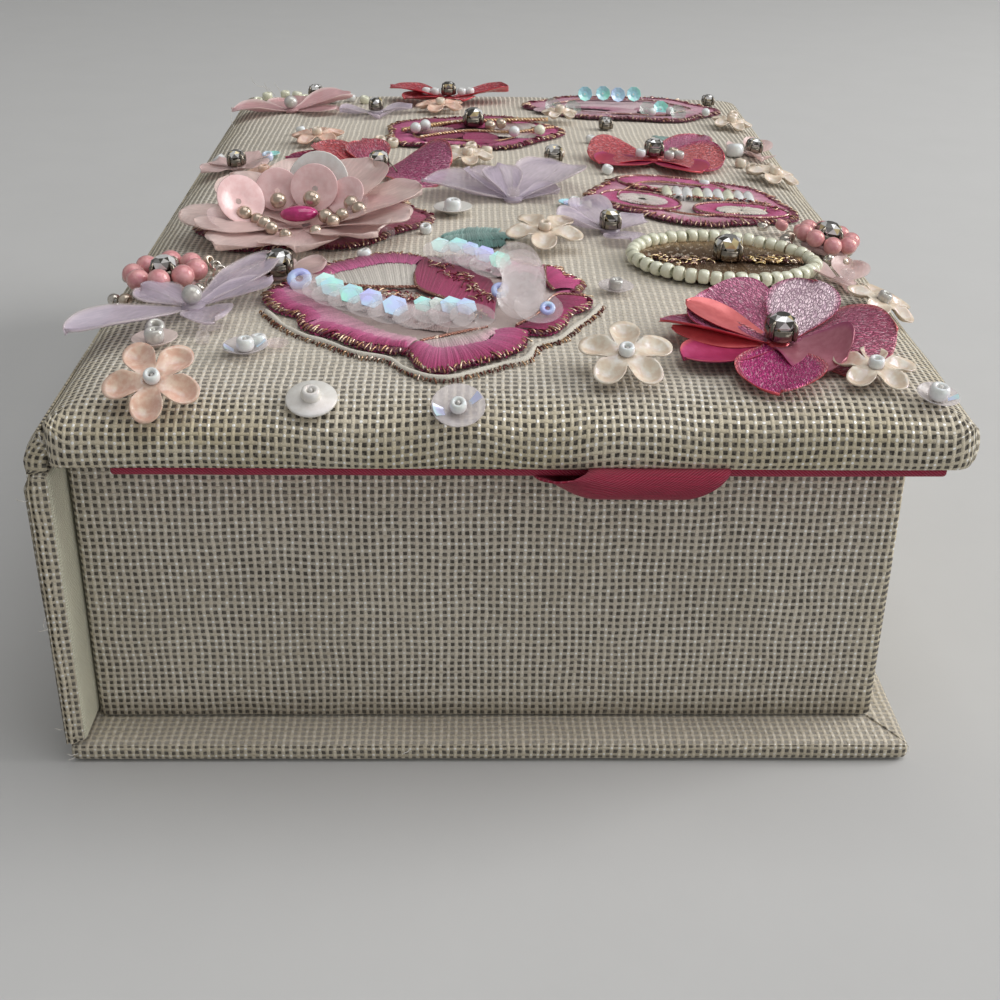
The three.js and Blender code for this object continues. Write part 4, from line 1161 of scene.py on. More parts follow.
def petal_grid(
    length, width, rise, cup, curl, peak=0.60, rows=16, roll=0.0, wave=0.0, neck=0.2, notch=0.0, seed=0.0
):
    """Petal that leaves the middle along +X. rise in degrees, cup lifts its sides, curl bends it
    along its length, roll twists it and notch makes it heart-shaped."""
    root, columns = PETAL_ROOT, PETAL_COLUMNS
    climb = math.tan(math.radians(rise))
    grid = np.zeros((rows + 1, columns, 3))
    for i in range(rows + 1):
        k = i / rows
        t = 1 - (1 - k) ** 1.7
        if t < peak:
            share = neck + (1 - neck) * smooth_share(t / peak) ** 0.8
        else:
            share = math.sqrt(max(0.0, 1 - ((t - peak) / (1 - peak)) ** 2.2))
        half = width / 2 * max(share, 0.015)
        for j in range(columns):
            s = -1 + 2 * j / (columns - 1)
            dent = notch * length * (1 - abs(s)) ** 2 * smooth_share((t - 0.6) / 0.4)
            along = root + (length - root) * t - dent
            bend = curl * length * t**2
            lift = cup * half * abs(s) ** 1.6
            turn = math.radians(roll) * t
            y = s * half
            y, lift = y * math.cos(turn) - lift * math.sin(turn), y * math.sin(turn) + lift * math.cos(turn)
            z = along * climb + bend + lift
            ripple = wave * math.sin(3.1 * s + 4.0 * t + seed) * t
            z += ripple + 0.4 * wave * noise.noise(Vector((along / 3, y / 2, seed)))
            grid[i, j] = (along, y, z)
    return grid


def petal_uv(grid):
    columns = grid.shape[1]
    along = np.repeat(grid[:, columns // 2, 0][:, None], columns, axis=1)
    side = np.sign(grid[:, :, 1]) * np.hypot(grid[:, :, 1], grid[:, :, 2] - grid[:, columns // 2, 2][:, None])
    return np.stack([along.ravel(), side.ravel()], axis=1)


def petal_tone(grid, inner, outer, edge, edge_width):
    """Colour that runs from the root to the tip, with the rim in another colour."""
    rows, columns = grid.shape[:2]
    tones = np.zeros((rows, columns, 3))
    for i in range(rows):
        t = i / (rows - 1)
        for j in range(columns):
            s = abs(-1 + 2 * j / (columns - 1))
            rim = max(
                smooth_share((s - 1 + edge_width) / edge_width), smooth_share((t - 1 + edge_width) / edge_width)
            )
            base = np.array(inner) * (1 - t) + np.array(outer) * t
            tones[i, j] = base * (1 - rim) + np.array(edge) * rim
    return tones


def foil_petal(piece, origin, spin, azimuth, length, width, rise, cup, curl, colours, **shape):
    smooth = shape.pop("smooth", False)
    grid = petal_grid(length, width, rise, cup, curl, **shape)
    turn = np.array(spin) @ turn_about("Z", azimuth)
    inner, outer, edge, under = colours
    tones = petal_tone(grid, inner, outer, edge, 0.10)
    over = CORAL if smooth else LEATHER
    sheet_of(piece, grid, FOIL_THICKNESS, over, CORAL, tones, under, petal_uv(grid), origin, turn)


def film_petal(
    piece, origin, spin, azimuth, length, width, rise, cup, curl, material, inner, outer, edge, **shape
):
    grid = petal_grid(length, width, rise, cup, curl, **shape)
    turn = np.array(spin) @ turn_about("Z", azimuth)
    tones = petal_tone(grid, inner, outer, edge, 0.14)
    sheet_of(piece, grid, FILM_THICKNESS, material, material, tones, tones, petal_uv(grid), origin, turn)


ROSE = (0.50, 0.085, 0.22)
DEEP_ROSE = (0.36, 0.022, 0.115)
BRIGHT_ROSE = (0.64, 0.10, 0.27)
CORAL_PINK = (0.80, 0.20, 0.20)
CORAL_RED = (0.70, 0.085, 0.11)
BLUSH = (0.90, 0.70, 0.77)
MAUVE_ROSE = (0.60, 0.15, 0.28)
DUSTY_ROSE = (0.62, 0.20, 0.34)
BRICK_ROSE = (0.50, 0.10, 0.18)
DUSTY_PINK = (0.60, 0.22, 0.28)
HOT_MAGENTA = (0.66, 0.05, 0.27)
CRIMSON = (0.56, 0.05, 0.15)

# Foil flowers: place, lift, then for each petal azimuth, length, width, rise, cup, curl, colours
# and what else shapes it, where that isn't the usual
USUAL_SHAPE = dict(peak=0.6, wave=0.3)
foil_flowers = {
    "front": (
        (38.9, -79.5), 0.8,
        [
            (130, 14.2, 16.0, 14, 0.12, 0.02, (MAUVE_ROSE, DUSTY_ROSE, ROSE, CORAL_PINK),
             dict(peak=0.64, roll=-10, wave=0.3, neck=0.3)),
            (152, 14.6, 6.4, 13.5, 0.10, 0.02, (CORAL_PINK, CORAL_PINK, CORAL_PINK, CORAL_RED),
             dict(peak=0.62, roll=-6, wave=0.2, neck=0.35, smooth=True)),
            (172, 17.3, 8.0, 9, 0.35, -0.02, (DEEP_ROSE, ROSE, CORAL_PINK, CORAL_RED),
             dict(peak=0.5, wave=0.3, roll=14)),
            (178, 15.6, 6.4, 11.5, -0.2, -0.06, (CORAL_RED, CORAL_PINK, CORAL_PINK, CORAL_RED),
             dict(peak=0.5, wave=0.2, smooth=True)),
            (207, 16.5, 9.0, 2.5, 0.16, 0.0, (CRIMSON, BRIGHT_ROSE, CORAL_PINK, DEEP_ROSE),
             dict(peak=0.62, wave=0.3, neck=0.3, smooth=True)),
            (-100, 16.6, 12.6, 2.6, 0.22, -0.04, (HOT_MAGENTA, HOT_MAGENTA, CORAL_PINK, CORAL_RED),
             dict(peak=0.64, wave=0.4, neck=0.35, roll=6)),
            (-50, 11.6, 10.4, 16, 0.18, -0.10, (DUSTY_PINK, DUSTY_PINK, ROSE, DUSTY_PINK),
             dict(peak=0.62, wave=0.3, roll=46, neck=0.45, smooth=True)),
            (-6, 16.2, 18.0, 21, -0.16, -0.16, (MAUVE_ROSE, BRICK_ROSE, CORAL_PINK, CORAL_PINK),
             dict(peak=0.58, wave=0.3, neck=0.35, rows=20, roll=20)),
            (58, 12.0, 11.0, 27, 0.10, 0.0, (BLUSH, BLUSH, ROSE, CORAL_PINK),
             dict(peak=0.64, wave=0.3, neck=0.3))
        ]
    ),
    "left": (
        (-23, 5.5), 0.8,
        [
            (-14, 14.5, 15.0, 14, 0.06, -0.08, (BRIGHT_ROSE, DUSTY_ROSE, CORAL_PINK, CORAL_PINK),
             dict(neck=0.35, roll=40)),
            (172, 18.5, 9.5, 9, 0.4, 0.0, (DEEP_ROSE, DEEP_ROSE, CORAL_RED, CORAL_RED),
             dict(peak=0.5, wave=0.4)),
            (150, 15, 9, 19, 0.2, -0.05, (CORAL_RED, CORAL_PINK, CORAL_PINK, CORAL_PINK), {}),
            (110, 11, 9, 24, 0.2, -0.05, (ROSE, CORAL_PINK, CORAL_PINK, CORAL_PINK), {}),
            (118, 12, 10, 15, 0.2, 0.0, (CORAL_PINK, CORAL_PINK, CORAL_PINK, CORAL_RED),
             dict(smooth=True))
        ]
    ),
    "right": (
        (32, 20), 0.8,
        [
            (176, 13.5, 12.0, 5, 0.16, 0.0, (CORAL_RED, CORAL_PINK, CORAL_PINK, CORAL_RED),
             dict(neck=0.4, roll=-24)),
            (212, 13.5, 11.5, 1.6, 0.12, 0.0, (DEEP_ROSE, CORAL_RED, BRIGHT_ROSE, CORAL_RED),
             dict(peak=0.6, wave=0.2, neck=0.4, smooth=True)),
            (-2, 14.5, 12.5, 5, 0.16, 0.0, (CORAL_PINK, CORAL_PINK, BRIGHT_ROSE, CORAL_RED),
             dict(neck=0.4, roll=24)),
            (-44, 12.5, 11.5, 1.6, 0.12, 0.0, (DEEP_ROSE, CORAL_RED, BRIGHT_ROSE, CORAL_RED),
             dict(peak=0.6, wave=0.2, neck=0.4, smooth=True)),
            (58, 25, 9, 2.2, 0.14, 0.0, (BRIGHT_ROSE, DUSTY_ROSE, CORAL_PINK, CORAL_RED),
             dict(peak=0.66, wave=0.3, neck=0.15))
        ]
    ),
    "back": (
        (-10.5, 84), 0.8,
        [
            (170, 14.5, 10.5, 10, 0.3, 0.0, (CORAL_RED, CORAL_RED, CORAL_PINK, CORAL_RED),
             dict(peak=0.55, wave=0.5)),
            (215, 12.5, 9.5, 5.5, 0.2, 0.0, (CORAL_RED, CORAL_PINK, CORAL_PINK, CORAL_RED), {}),
            (2, 14.5, 10.5, 9, 0.3, 0.0, (CORAL_RED, CORAL_RED, CORAL_PINK, CORAL_RED),
             dict(peak=0.6, wave=0.5)),
            (-70, 9.5, 9, 6.5, 0.2, 0.0, (CORAL_PINK, CORAL_PINK, CORAL_PINK, CORAL_RED), {})
        ]
    )
}
for name, (spot, height, petals) in foil_flowers.items():
    piece = Piece(f"foil_flower_{name}_petals")
    origin, spin = on_lid(*spot, lift=height)
    for azimuth, *form, shape in petals:
        foil_petal(piece, origin, spin, azimuth, *form, seed=azimuth * 0.1, **{**USUAL_SHAPE, **shape})
    normal = spin @ np.array([0, 0, 1.0])
    add_turned(piece, [(0, -0.2), (1.9, -0.2), (2.1, 0.4), (0, 0.9)], 14, CORAL, origin, spin, tone=CORAL_RED)
    rhinestone(piece, origin + 1.0 * normal, spin)
    if name == "left":
        for dx, dy in [(1.6, -2.4), (3.6, -2.0)]:
            stitch(
                piece, origin + normal * 2.6 + spin @ np.array([0.5 * dx, -0.8, 0]),
                seat(origin, spin, dx, dy, 0.6), 0.14, 0.2, PRONG
            )
    if name == "right":
        for dx, dy, colour in [
            (2.9, -2.2, GREY_PEARL), (5.0, -1.6, GREY_PEARL), (-2.9, -1.8, WHITE_BEAD), (4.2, 0.9, GOLD_PEARL)
        ]:
            seed_bead(piece, seat(origin, spin, dx, dy, 0.9), colour, 2.2, spin)
    if name == "back":
        for dx, dy in [(-3.2, -1.2), (3.2, -1.4), (5.2, -0.9), (-5.4, -0.8)]:
            seed_bead(piece, seat(origin, spin, dx, dy, 1.2), WHITE_BEAD, 2.2, spin)
    dress(piece, "lid", [f"foil_flower_{name}"])


def flower_sequin(piece, origin, spin, diameter, turn, material):
    """Moulded sequin with five spoon-shaped petals: narrow waists, cupped round tips."""
    radius = diameter / 2
    sides, rings = 70, 9
    grid = np.zeros((rings, sides + 1, 3))
    for j in range(sides + 1):
        angle = 2 * math.pi * j / sides
        lobe = abs(math.cos(2.5 * angle))
        reach = 0.36 + 0.64 * lobe**0.62
        for i in range(rings):
            share = (i / (rings - 1)) ** 0.9
            r = radius * (0.14 + (reach - 0.14) * share)
            across = 1 - lobe
            spoon = math.exp(-(((r / radius) - 0.66) / 0.24) ** 2)
            z = 1.25 - 0.55 * (r / radius) ** 2 - 0.75 * spoon * lobe**2
            waist = 0.75 * across * smooth_share((r / radius - 0.3) / 0.3)
            z += waist + 0.35 * smooth_share((share - 0.8) / 0.2) * lobe
            a = angle + math.radians(turn)
            grid[i, j] = (r * math.cos(a), r * math.sin(a), z)
    round_sheet(piece, grid, SEQUIN_THICKNESS, material, origin, spin)


def round_sheet(piece, grid, thickness, material, origin, spin):
    """Sheet of a round grid that closes on itself: top, underside, inner and outer rims."""
    rings, columns = grid.shape[:2]
    sides = columns - 1
    top = grid[:, :sides].reshape(-1, 3)
    low = top - np.array([0, 0, thickness])
    count = len(top)
    faces = grid_faces(rings, sides, around=True, flip=True)
    flipped = [tuple(count + i for i in f[::-1]) for f in faces]
    rims = []
    for j in range(sides):
        k = (j + 1) % sides
        outer = (rings - 1) * sides
        rims.append((outer + j, outer + k, count + outer + k, count + outer + j)[::-1])
        rims.append((j, k, count + k, count + j))
    piece.add(move(np.vstack([top, low]), origin, spin), faces + flipped + rims, material)


# Moulded sequins: x, y, size, turn, tip to the front, height beneath, material and its bead
flower_sequins = [
    (-47.3, -95.2, 1.0, -23, 18, 0, PEACH, WHITE_BEAD),
    (15.8, -88.8, 1.0, 18, 18, 0, IVORY, WHITE_BEAD),
    (7.0, -38.2, 1.0, 50, 8, OVER_STITCHES, IVORY, IVORY),
    (50.2, -89.5, 0.88, 10, 8, 0, IVORY, WHITE_BEAD),
    (58.3, -60.0, 0.88, 30, 6, 0, IVORY, GREY_PEARL),
    (55.4, 13.3, 0.82, 40, 4, 0, IVORY, IVORY),
    (54.6, 60.0, 0.74, 0, 4, 0, IVORY, IVORY),
    (-38.0, 38.0, 0.88, 20, 4, 0, PEACH, IVORY),
    (-5.8, 15.6, 0.78, 60, 4, 0, IVORY, IVORY),
    (-45.5, 7.5, 0.67, 10, 4, 0, PEACH, PEACH),
    (-12.2, 69.6, 0.88, 36, 4, 0, PEACH, IVORY),
    (15.0, 57.0, 0.63, 24, 4, OVER_STITCHES, IVORY, IVORY),
]
for k, (x, y, scale, turn, tip, beneath, material, bead_material) in enumerate(flower_sequins):
    piece = Piece(f"peach_sequin_{k + 1}")
    diameter = FLOWER_SEQUIN_DIAMETER * scale
    origin, spin = on_lid(x, y, TRIM_GAP + beneath + diameter / 2 * math.sin(math.radians(tip)))
    spin = spin @ turn_about("X", tip)
    flower_sequin(piece, origin, spin, diameter, turn, material)
    seed_bead(piece, seat(origin, spin, 0, 0, 0.95), bead_material, 2.3, spin)
    stitch(piece, seat(origin, spin, 0.1, 0, 2.2), seat(origin, spin, 0.1, 0, 0.4), 0.25)
    dress(piece, "lid", [f"peach_sequin_flower_{k + 1}"])


def cup_sequin(piece, origin, spin, diameter, material, tone=(1, 1, 1), flat=False):
    """Round cup sequin: flat middle, facets that rise to the rim."""
    r, h = diameter / 2, 0.16 * diameter
    profile = [
        (r * 0.12, 0.28), (r * 0.42, 0.22), (r * 0.97, h + 0.16), (r, h + 0.08), (r * 0.96, h),
        (r * 0.42, 0.06), (r * 0.12, 0.10), (r * 0.12, 0.28)
    ]
    add_turned(piece, profile[::-1], 9 if flat else 28, material, origin, spin, tone, flat=flat)


# Cup sequins: x, y, size, bead size, sequin, bead, faceted
cup_sequins = [
    (-26.6, -96.2, 1.0, 1.15, WHITE_CUP, WHITE_CUP, False),
    (-7.1, -97.6, 1.04, 1.0, CLEAR_CUP, WHITE_BEAD, False),
    (-37.2, -81.8, 0.93, 1.1, CLEAR_CUP, WHITE_BEAD, False),
    (57.4, -95.2, 0.84, 1.2, CLEAR_CUP, WHITE_BEAD, False),
    (-50.6, -78.4, 0.95, 1.25, ORGANZA, GREY_PEARL, False),
    (17.2, -58.8, 0.8, 1.0, CLEAR_CUP, GREY_PEARL, False),
    (-8.5, -20.4, 1.0, 1.3, WHITE_CUP, WHITE_BEAD, False),
    (13.5, -16, 0.6, 0.9, RAINBOW, WHITE_BEAD, True),
]
for k, (x, y, scale, bead_scale, material, bead_material, flat) in enumerate(cup_sequins):
    piece = Piece(f"cup_sequin_{k + 1}_disc")
    origin, spin = on_lid(x, y, TRIM_GAP)
    diameter = CUP_SEQUIN_DIAMETER * scale
    if k == 0:  # the opaque one has a dished hub and a flat brim
        profile = [
            (0.5, 0.9), (1.4, 0.9), (1.9, 0.62), (3.3, 0.78), (3.5, 0.55), (3.3, 0.2), (1.6, 0.05), (0.5, 0.05),
            (0.5, 0.9)
        ]
        add_turned(piece, profile[::-1], 32, material, origin, spin)
    else:
        cup_sequin(piece, origin, spin, diameter, material, flat=flat)
    # The chips are painted highlights: thin rainbow sheets laid on the cups
    if k in (1, 2, 3):  # the clear ones catch the light in two chips of colour, the last in one
        r = diameter / 2
        highlight_chip = [(r * 0.5, 0.32), (r * 0.93, 0.16 * diameter + 0.2)]
        for start, spread in ((175, 38), (20, 22)) if k != 3 else ((-20, 26),):
            cells = np.zeros((2, 6, 3))
            for i, (radius, z) in enumerate(highlight_chip):
                for j in range(6):
                    a = math.radians(start + spread * j / 5)
                    cells[i, j] = (radius * math.cos(a), radius * math.sin(a), z + 0.04)
            sheet_of(piece, cells, 0.03, RAINBOW, RAINBOW, origin=origin, spin=spin)
    size = SEED_BEAD_DIAMETER * bead_scale
    seed_bead(piece, seat(origin, spin, 0, 0, 0.32), bead_material, size, spin)
    stitch(piece, seat(origin, spin, 0, 0, size * 0.7 + 0.3), origin, 0.3)
    dress(piece, "lid", [f"cup_sequin_{k + 1}"])

rhinestones = [(11.5, 17.5), (-43.5, 91), (25, 51), (53.3, 86)]
for k, (x, y) in enumerate(rhinestones):
    piece = Piece(f"rhinestone_{k + 1}_setting")
    origin, spin = on_lid(x, y, TRIM_GAP)
    rhinestone(piece, origin, spin)
    dress(piece, "lid", [f"rhinestone_{k + 1}"])

# Embroidery: satin stitches between two rails, cords of metal thread and rows of sequins


def spline(points, count, closed=False):
    """Smooth curve through a few points, as count points."""
    pts = np.asarray(points, float)
    n = len(pts)
    spans = n if closed else n - 1
    out = []
    for k in range(count):
        f = k / (count if closed else count - 1) * spans
        i = min(int(f), spans - 1)
        t = f - i
        if closed:
            p = [pts[(i + d) % n] for d in (-1, 0, 1, 2)]
        else:
            p = [pts[min(max(i + d, 0), n - 1)] for d in (-1, 0, 1, 2)]
        square = (2 * p[0] - 5 * p[1] + 4 * p[2] - p[3]) * t**2
        cube = (3 * p[1] - p[0] - 3 * p[2] + p[3]) * t**3
        out.append(0.5 * (2 * p[1] + (p[2] - p[0]) * t + square + cube))
    return np.array(out)


def even(points, spacing, closed=False):
    """A curve cut into steps of about one spacing."""
    pts = np.vstack([points, points[:1]]) if closed else np.asarray(points)
    run = np.concatenate([[0], np.cumsum(np.linalg.norm(np.diff(pts, axis=0), axis=1))])
    count = max(3, int(run[-1] / spacing))
    marks = np.linspace(0, run[-1], count + 1)
    if closed:
        marks = marks[:-1]
    return np.stack([np.interp(marks, run, pts[:, k]) for k in range(pts.shape[1])], axis=1)


def on_cloth(xy, lift):
    xy = np.asarray(xy, float).reshape(-1, 2)
    return np.array([(LID_CENTRE_X + x, y, lid_top(LID_CENTRE_X + x, y) + lift) for x, y in xy])


def oval(cx, cy, rx, ry, lobes=0, depth=0.0, phase=0.0, count=90, turn=0.0, pointed=0.0):
    out = []
    lean = math.radians(turn)
    for k in range(count):
        a = 2 * math.pi * k / count
        r = 1 - depth + depth * math.cos(lobes * a + math.radians(phase))
        x = rx * r * math.cos(a) * (1 + pointed * abs(math.cos(a)) ** 3)
        y = ry * r * math.sin(a) * (1 - 0.6 * pointed * abs(math.cos(a)) ** 2)
        out.append((cx + x * math.cos(lean) - y * math.sin(lean), cy + x * math.sin(lean) + y * math.cos(lean)))
    return np.array(out)


def shrink(curve, share, centre=None):
    centre = curve.mean(axis=0) if centre is None else np.asarray(centre)
    return centre + (curve - centre) * share


def satin_fill(
    piece, rail_a, rail_b, tone_a, tone_b, lift=0.62, arch=0.3, width=0.52, spacing=0.40, material=None, seed=1,
    closed=False, ragged=0.5
):
    """Satin stitches from one rail to the other, side by side, each a fine half-round thread."""
    rng = random.Random(seed)
    length = max(
        np.linalg.norm(np.diff(rail_a, axis=0), axis=1).sum(),
        np.linalg.norm(np.diff(rail_b, axis=0), axis=1).sum()
    )
    count = max(4, int(length / spacing))
    marks = np.linspace(0, 1, count + 1)[: count if closed else None]

    def at(rail):
        pts = np.vstack([rail, rail[:1]]) if closed else np.asarray(rail)
        run = np.linspace(0, 1, len(pts))
        return np.stack([np.interp(marks, run, pts[:, k]) for k in (0, 1)], axis=1)

    a, b = at(rail_a), at(rail_b)
    stations = 6
    points, faces, tones = [], [], []
    for i in range(len(marks)):
        p, q = a[i], b[i]
        way = q - p
        reach = np.linalg.norm(way)
        if reach < 0.3:
            continue
        way /= reach
        p = p - way * rng.uniform(0, ragged)
        q = q + way * rng.uniform(0, ragged)
        side = np.array([-way[1], way[0]])
        high = arch * rng.uniform(0.8, 1.15)
        shade = rng.uniform(0.80, 1.12)
        base = len(points)
        for k in range(stations):
            s = k / (stations - 1)
            middle = p + (q - p) * s
            over = lift + high * math.sin(math.pi * min(max(s, 0.03), 0.97)) ** 0.6
            for offset, drop in ((-0.5, 0.24), (0.0, 0.0), (0.5, 0.24)):
                place = middle + side * width * offset
                points.append(
                    (LID_CENTRE_X + place[0], place[1],
                     lid_top(LID_CENTRE_X + middle[0], middle[1]) + over - drop)
                )
                tones.append((np.array(tone_a) * (1 - s) + np.array(tone_b) * s) * shade)
        for k in range(stations - 1):
            for j in range(2):
                c = base + k * 3 + j
                faces.append((c, c + 3, c + 4, c + 1))
    piece.add(points, faces, material or SILK, tone=tones, uv=np.array(points)[:, :2])


def base_patch(piece, outline, tone, lift=0.42, material=None):
    """Ground cloth under the stitches."""
    centre = outline.mean(axis=0)
    rings = [0.002, 0.35, 0.65, 0.86, 0.97]
    points = []
    for r in rings:
        points += list(on_cloth(shrink(outline, r, centre), lift if r < rings[-1] else lift - 0.12))
    faces = grid_faces(len(rings), len(outline), around=True)
    piece.add(points, [f[::-1] for f in faces], material or PIPING, tone=tone, uv=np.array(points)[:, :2])


def cord(piece, curve, lift, radius=0.26, tone=(0.46, 0.24, 0.16), closed=True, pitch=1.5):
    """Two twisted strands of metal thread along a curve on the cloth."""
    path = even(curve, CORD_STEP, closed)
    count = len(path)
    ahead = np.roll(path, -1, axis=0) - np.roll(path, 1, axis=0)
    if not closed:
        ahead[0], ahead[-1] = path[1] - path[0], path[-1] - path[-2]
    ahead /= np.maximum(np.linalg.norm(ahead, axis=1, keepdims=True), 1e-9)
    turns = round(count * CORD_STEP / pitch)
    for strand in (0, 1):
        points = []
        for i in range(count):
            a = 2 * math.pi * turns * i / count + math.pi * strand
            side = np.array([-ahead[i][1], ahead[i][0]]) * radius * 0.85 * math.cos(a)
            points.append(on_cloth(path[i] + side, lift + radius * 0.85 * math.sin(a))[0])
        points, faces = tube(points, radius, 5, closed=closed)
        piece.add(points, faces, GOLD, tone=tone)


def edge_trim(piece, outline, centre, lift, spacing=0.62, seed=5, gold=(0.60, 0.36, 0.22)):
    """Dark thread under close metal stitches that reach unevenly over the edge."""
    rng = random.Random(seed)
    centre = np.asarray(centre, float)
    satin_fill(
        piece, outline, shrink(outline, 0.955, centre), (0.13, 0.012, 0.035), (0.24, 0.012, 0.06), lift=lift,
        arch=0.35, closed=True, seed=seed
    )
    shades = [gold, gold, (0.72, 0.50, 0.36), (0.22, 0.03, 0.06), (0.40, 0.20, 0.12), (0.80, 0.62, 0.42)]
    for p in even(outline, spacing, True):
        way = unit(centre - p) + np.array([rng.uniform(-0.55, 0.55), rng.uniform(-0.55, 0.55)])
        a = p - way * rng.uniform(0.15, 0.65)
        b = p + way * rng.uniform(0.5, 1.15)
        ends = on_cloth([a, b], lift + rng.uniform(0.15, 0.4))
        ends[0][2] -= rng.uniform(0.15, 0.5)
        stitch(piece, ends[0], ends[1], rng.uniform(0.11, 0.17), 0.18, GOLD, rng.choice(shades))


def fleck_band(piece, line, width, lift, count, seed, shades):
    """Short metal stitches strewn along a line."""
    rng = random.Random(seed)
    path = spline(line, count)
    for p in path:
        q = p + np.array([rng.uniform(-width, width), rng.uniform(-width, width)]) * 0.5
        a = rng.uniform(0, math.pi)
        reach = rng.uniform(0.35, 0.85) * np.array([math.cos(a), math.sin(a)])
        ends = on_cloth([q - reach, q + reach], lift)
        stitch(piece, ends[0], ends[1], 0.12, 0.22, GOLD, rng.choice(shades))


def standing_sequin(piece, x, y, lift, diameter, material, azimuth, lean, tone=(1, 1, 1), flat=True):
    """Cup sequin that leans: lean 0 lies flat, 90 stands, facing the azimuth."""
    origin, spin = on_lid(x, y, lift)
    spin = spin @ turn_about("Z", azimuth) @ turn_about("Y", lean)
    cup_sequin(piece, origin, spin, diameter, material, tone, flat=flat)


MAGENTA = (0.44, 0.018, 0.14)
DARK_MAGENTA = (0.26, 0.012, 0.075)
PINK = (0.72, 0.17, 0.38)
PALE_PINK = (0.84, 0.52, 0.60)
CREAM = (0.80, 0.74, 0.66)
BRIGHT_PINK = (0.66, 0.07, 0.26)
GREEN_GLINT = (0.62, 1.0, 0.86)

# Front flower: overlapping petals of satin stitch under sprays of clear and iridescent sequins
piece = Piece("embroidered_flower_front_stitches")
front = spline(
    [
        (-36.9, -59.7), (-34.3, -55.6), (-32, -51.6), (-29, -48.8), (-25.2, -46.3), (-22.1, -44.2),
        (-18.8, -43.6), (-15.5, -44.2), (-12.6, -45.9), (-8.1, -45.2), (-4, -45), (0.4, -46), (3.6, -48.8),
        (6, -50), (8.4, -50.4), (9.6, -53), (12.4, -57.2), (11.2, -60.4), (12.8, -63.9), (12.0, -66.9),
        (9.7, -69.1), (8.7, -71.3), (8, -73.8), (5.8, -76.6), (2.8, -76.6), (2.5, -79.5), (1.5, -82),
        (-0.5, -84.1), (-4.3, -86.4), (-6.9, -87.8), (-9.1, -89.6), (-11.4, -89.2), (-13, -86.8),
        (-14.3, -83.5), (-16.9, -82.9), (-19.8, -82), (-22, -80.5), (-24.7, -78), (-27.7, -76), (-30.1, -73.4),
        (-31.2, -69.7), (-34.3, -67.3), (-36.2, -64.1)
    ],
    300, True
)
middle = np.array([-12.0, -65.5])
base_patch(piece, front, (0.62, 0.50, 0.46))
satin_fill(piece, front, shrink(front, 0.86, middle), MAGENTA, PINK, lift=0.5, arch=0.3, closed=True, seed=4)

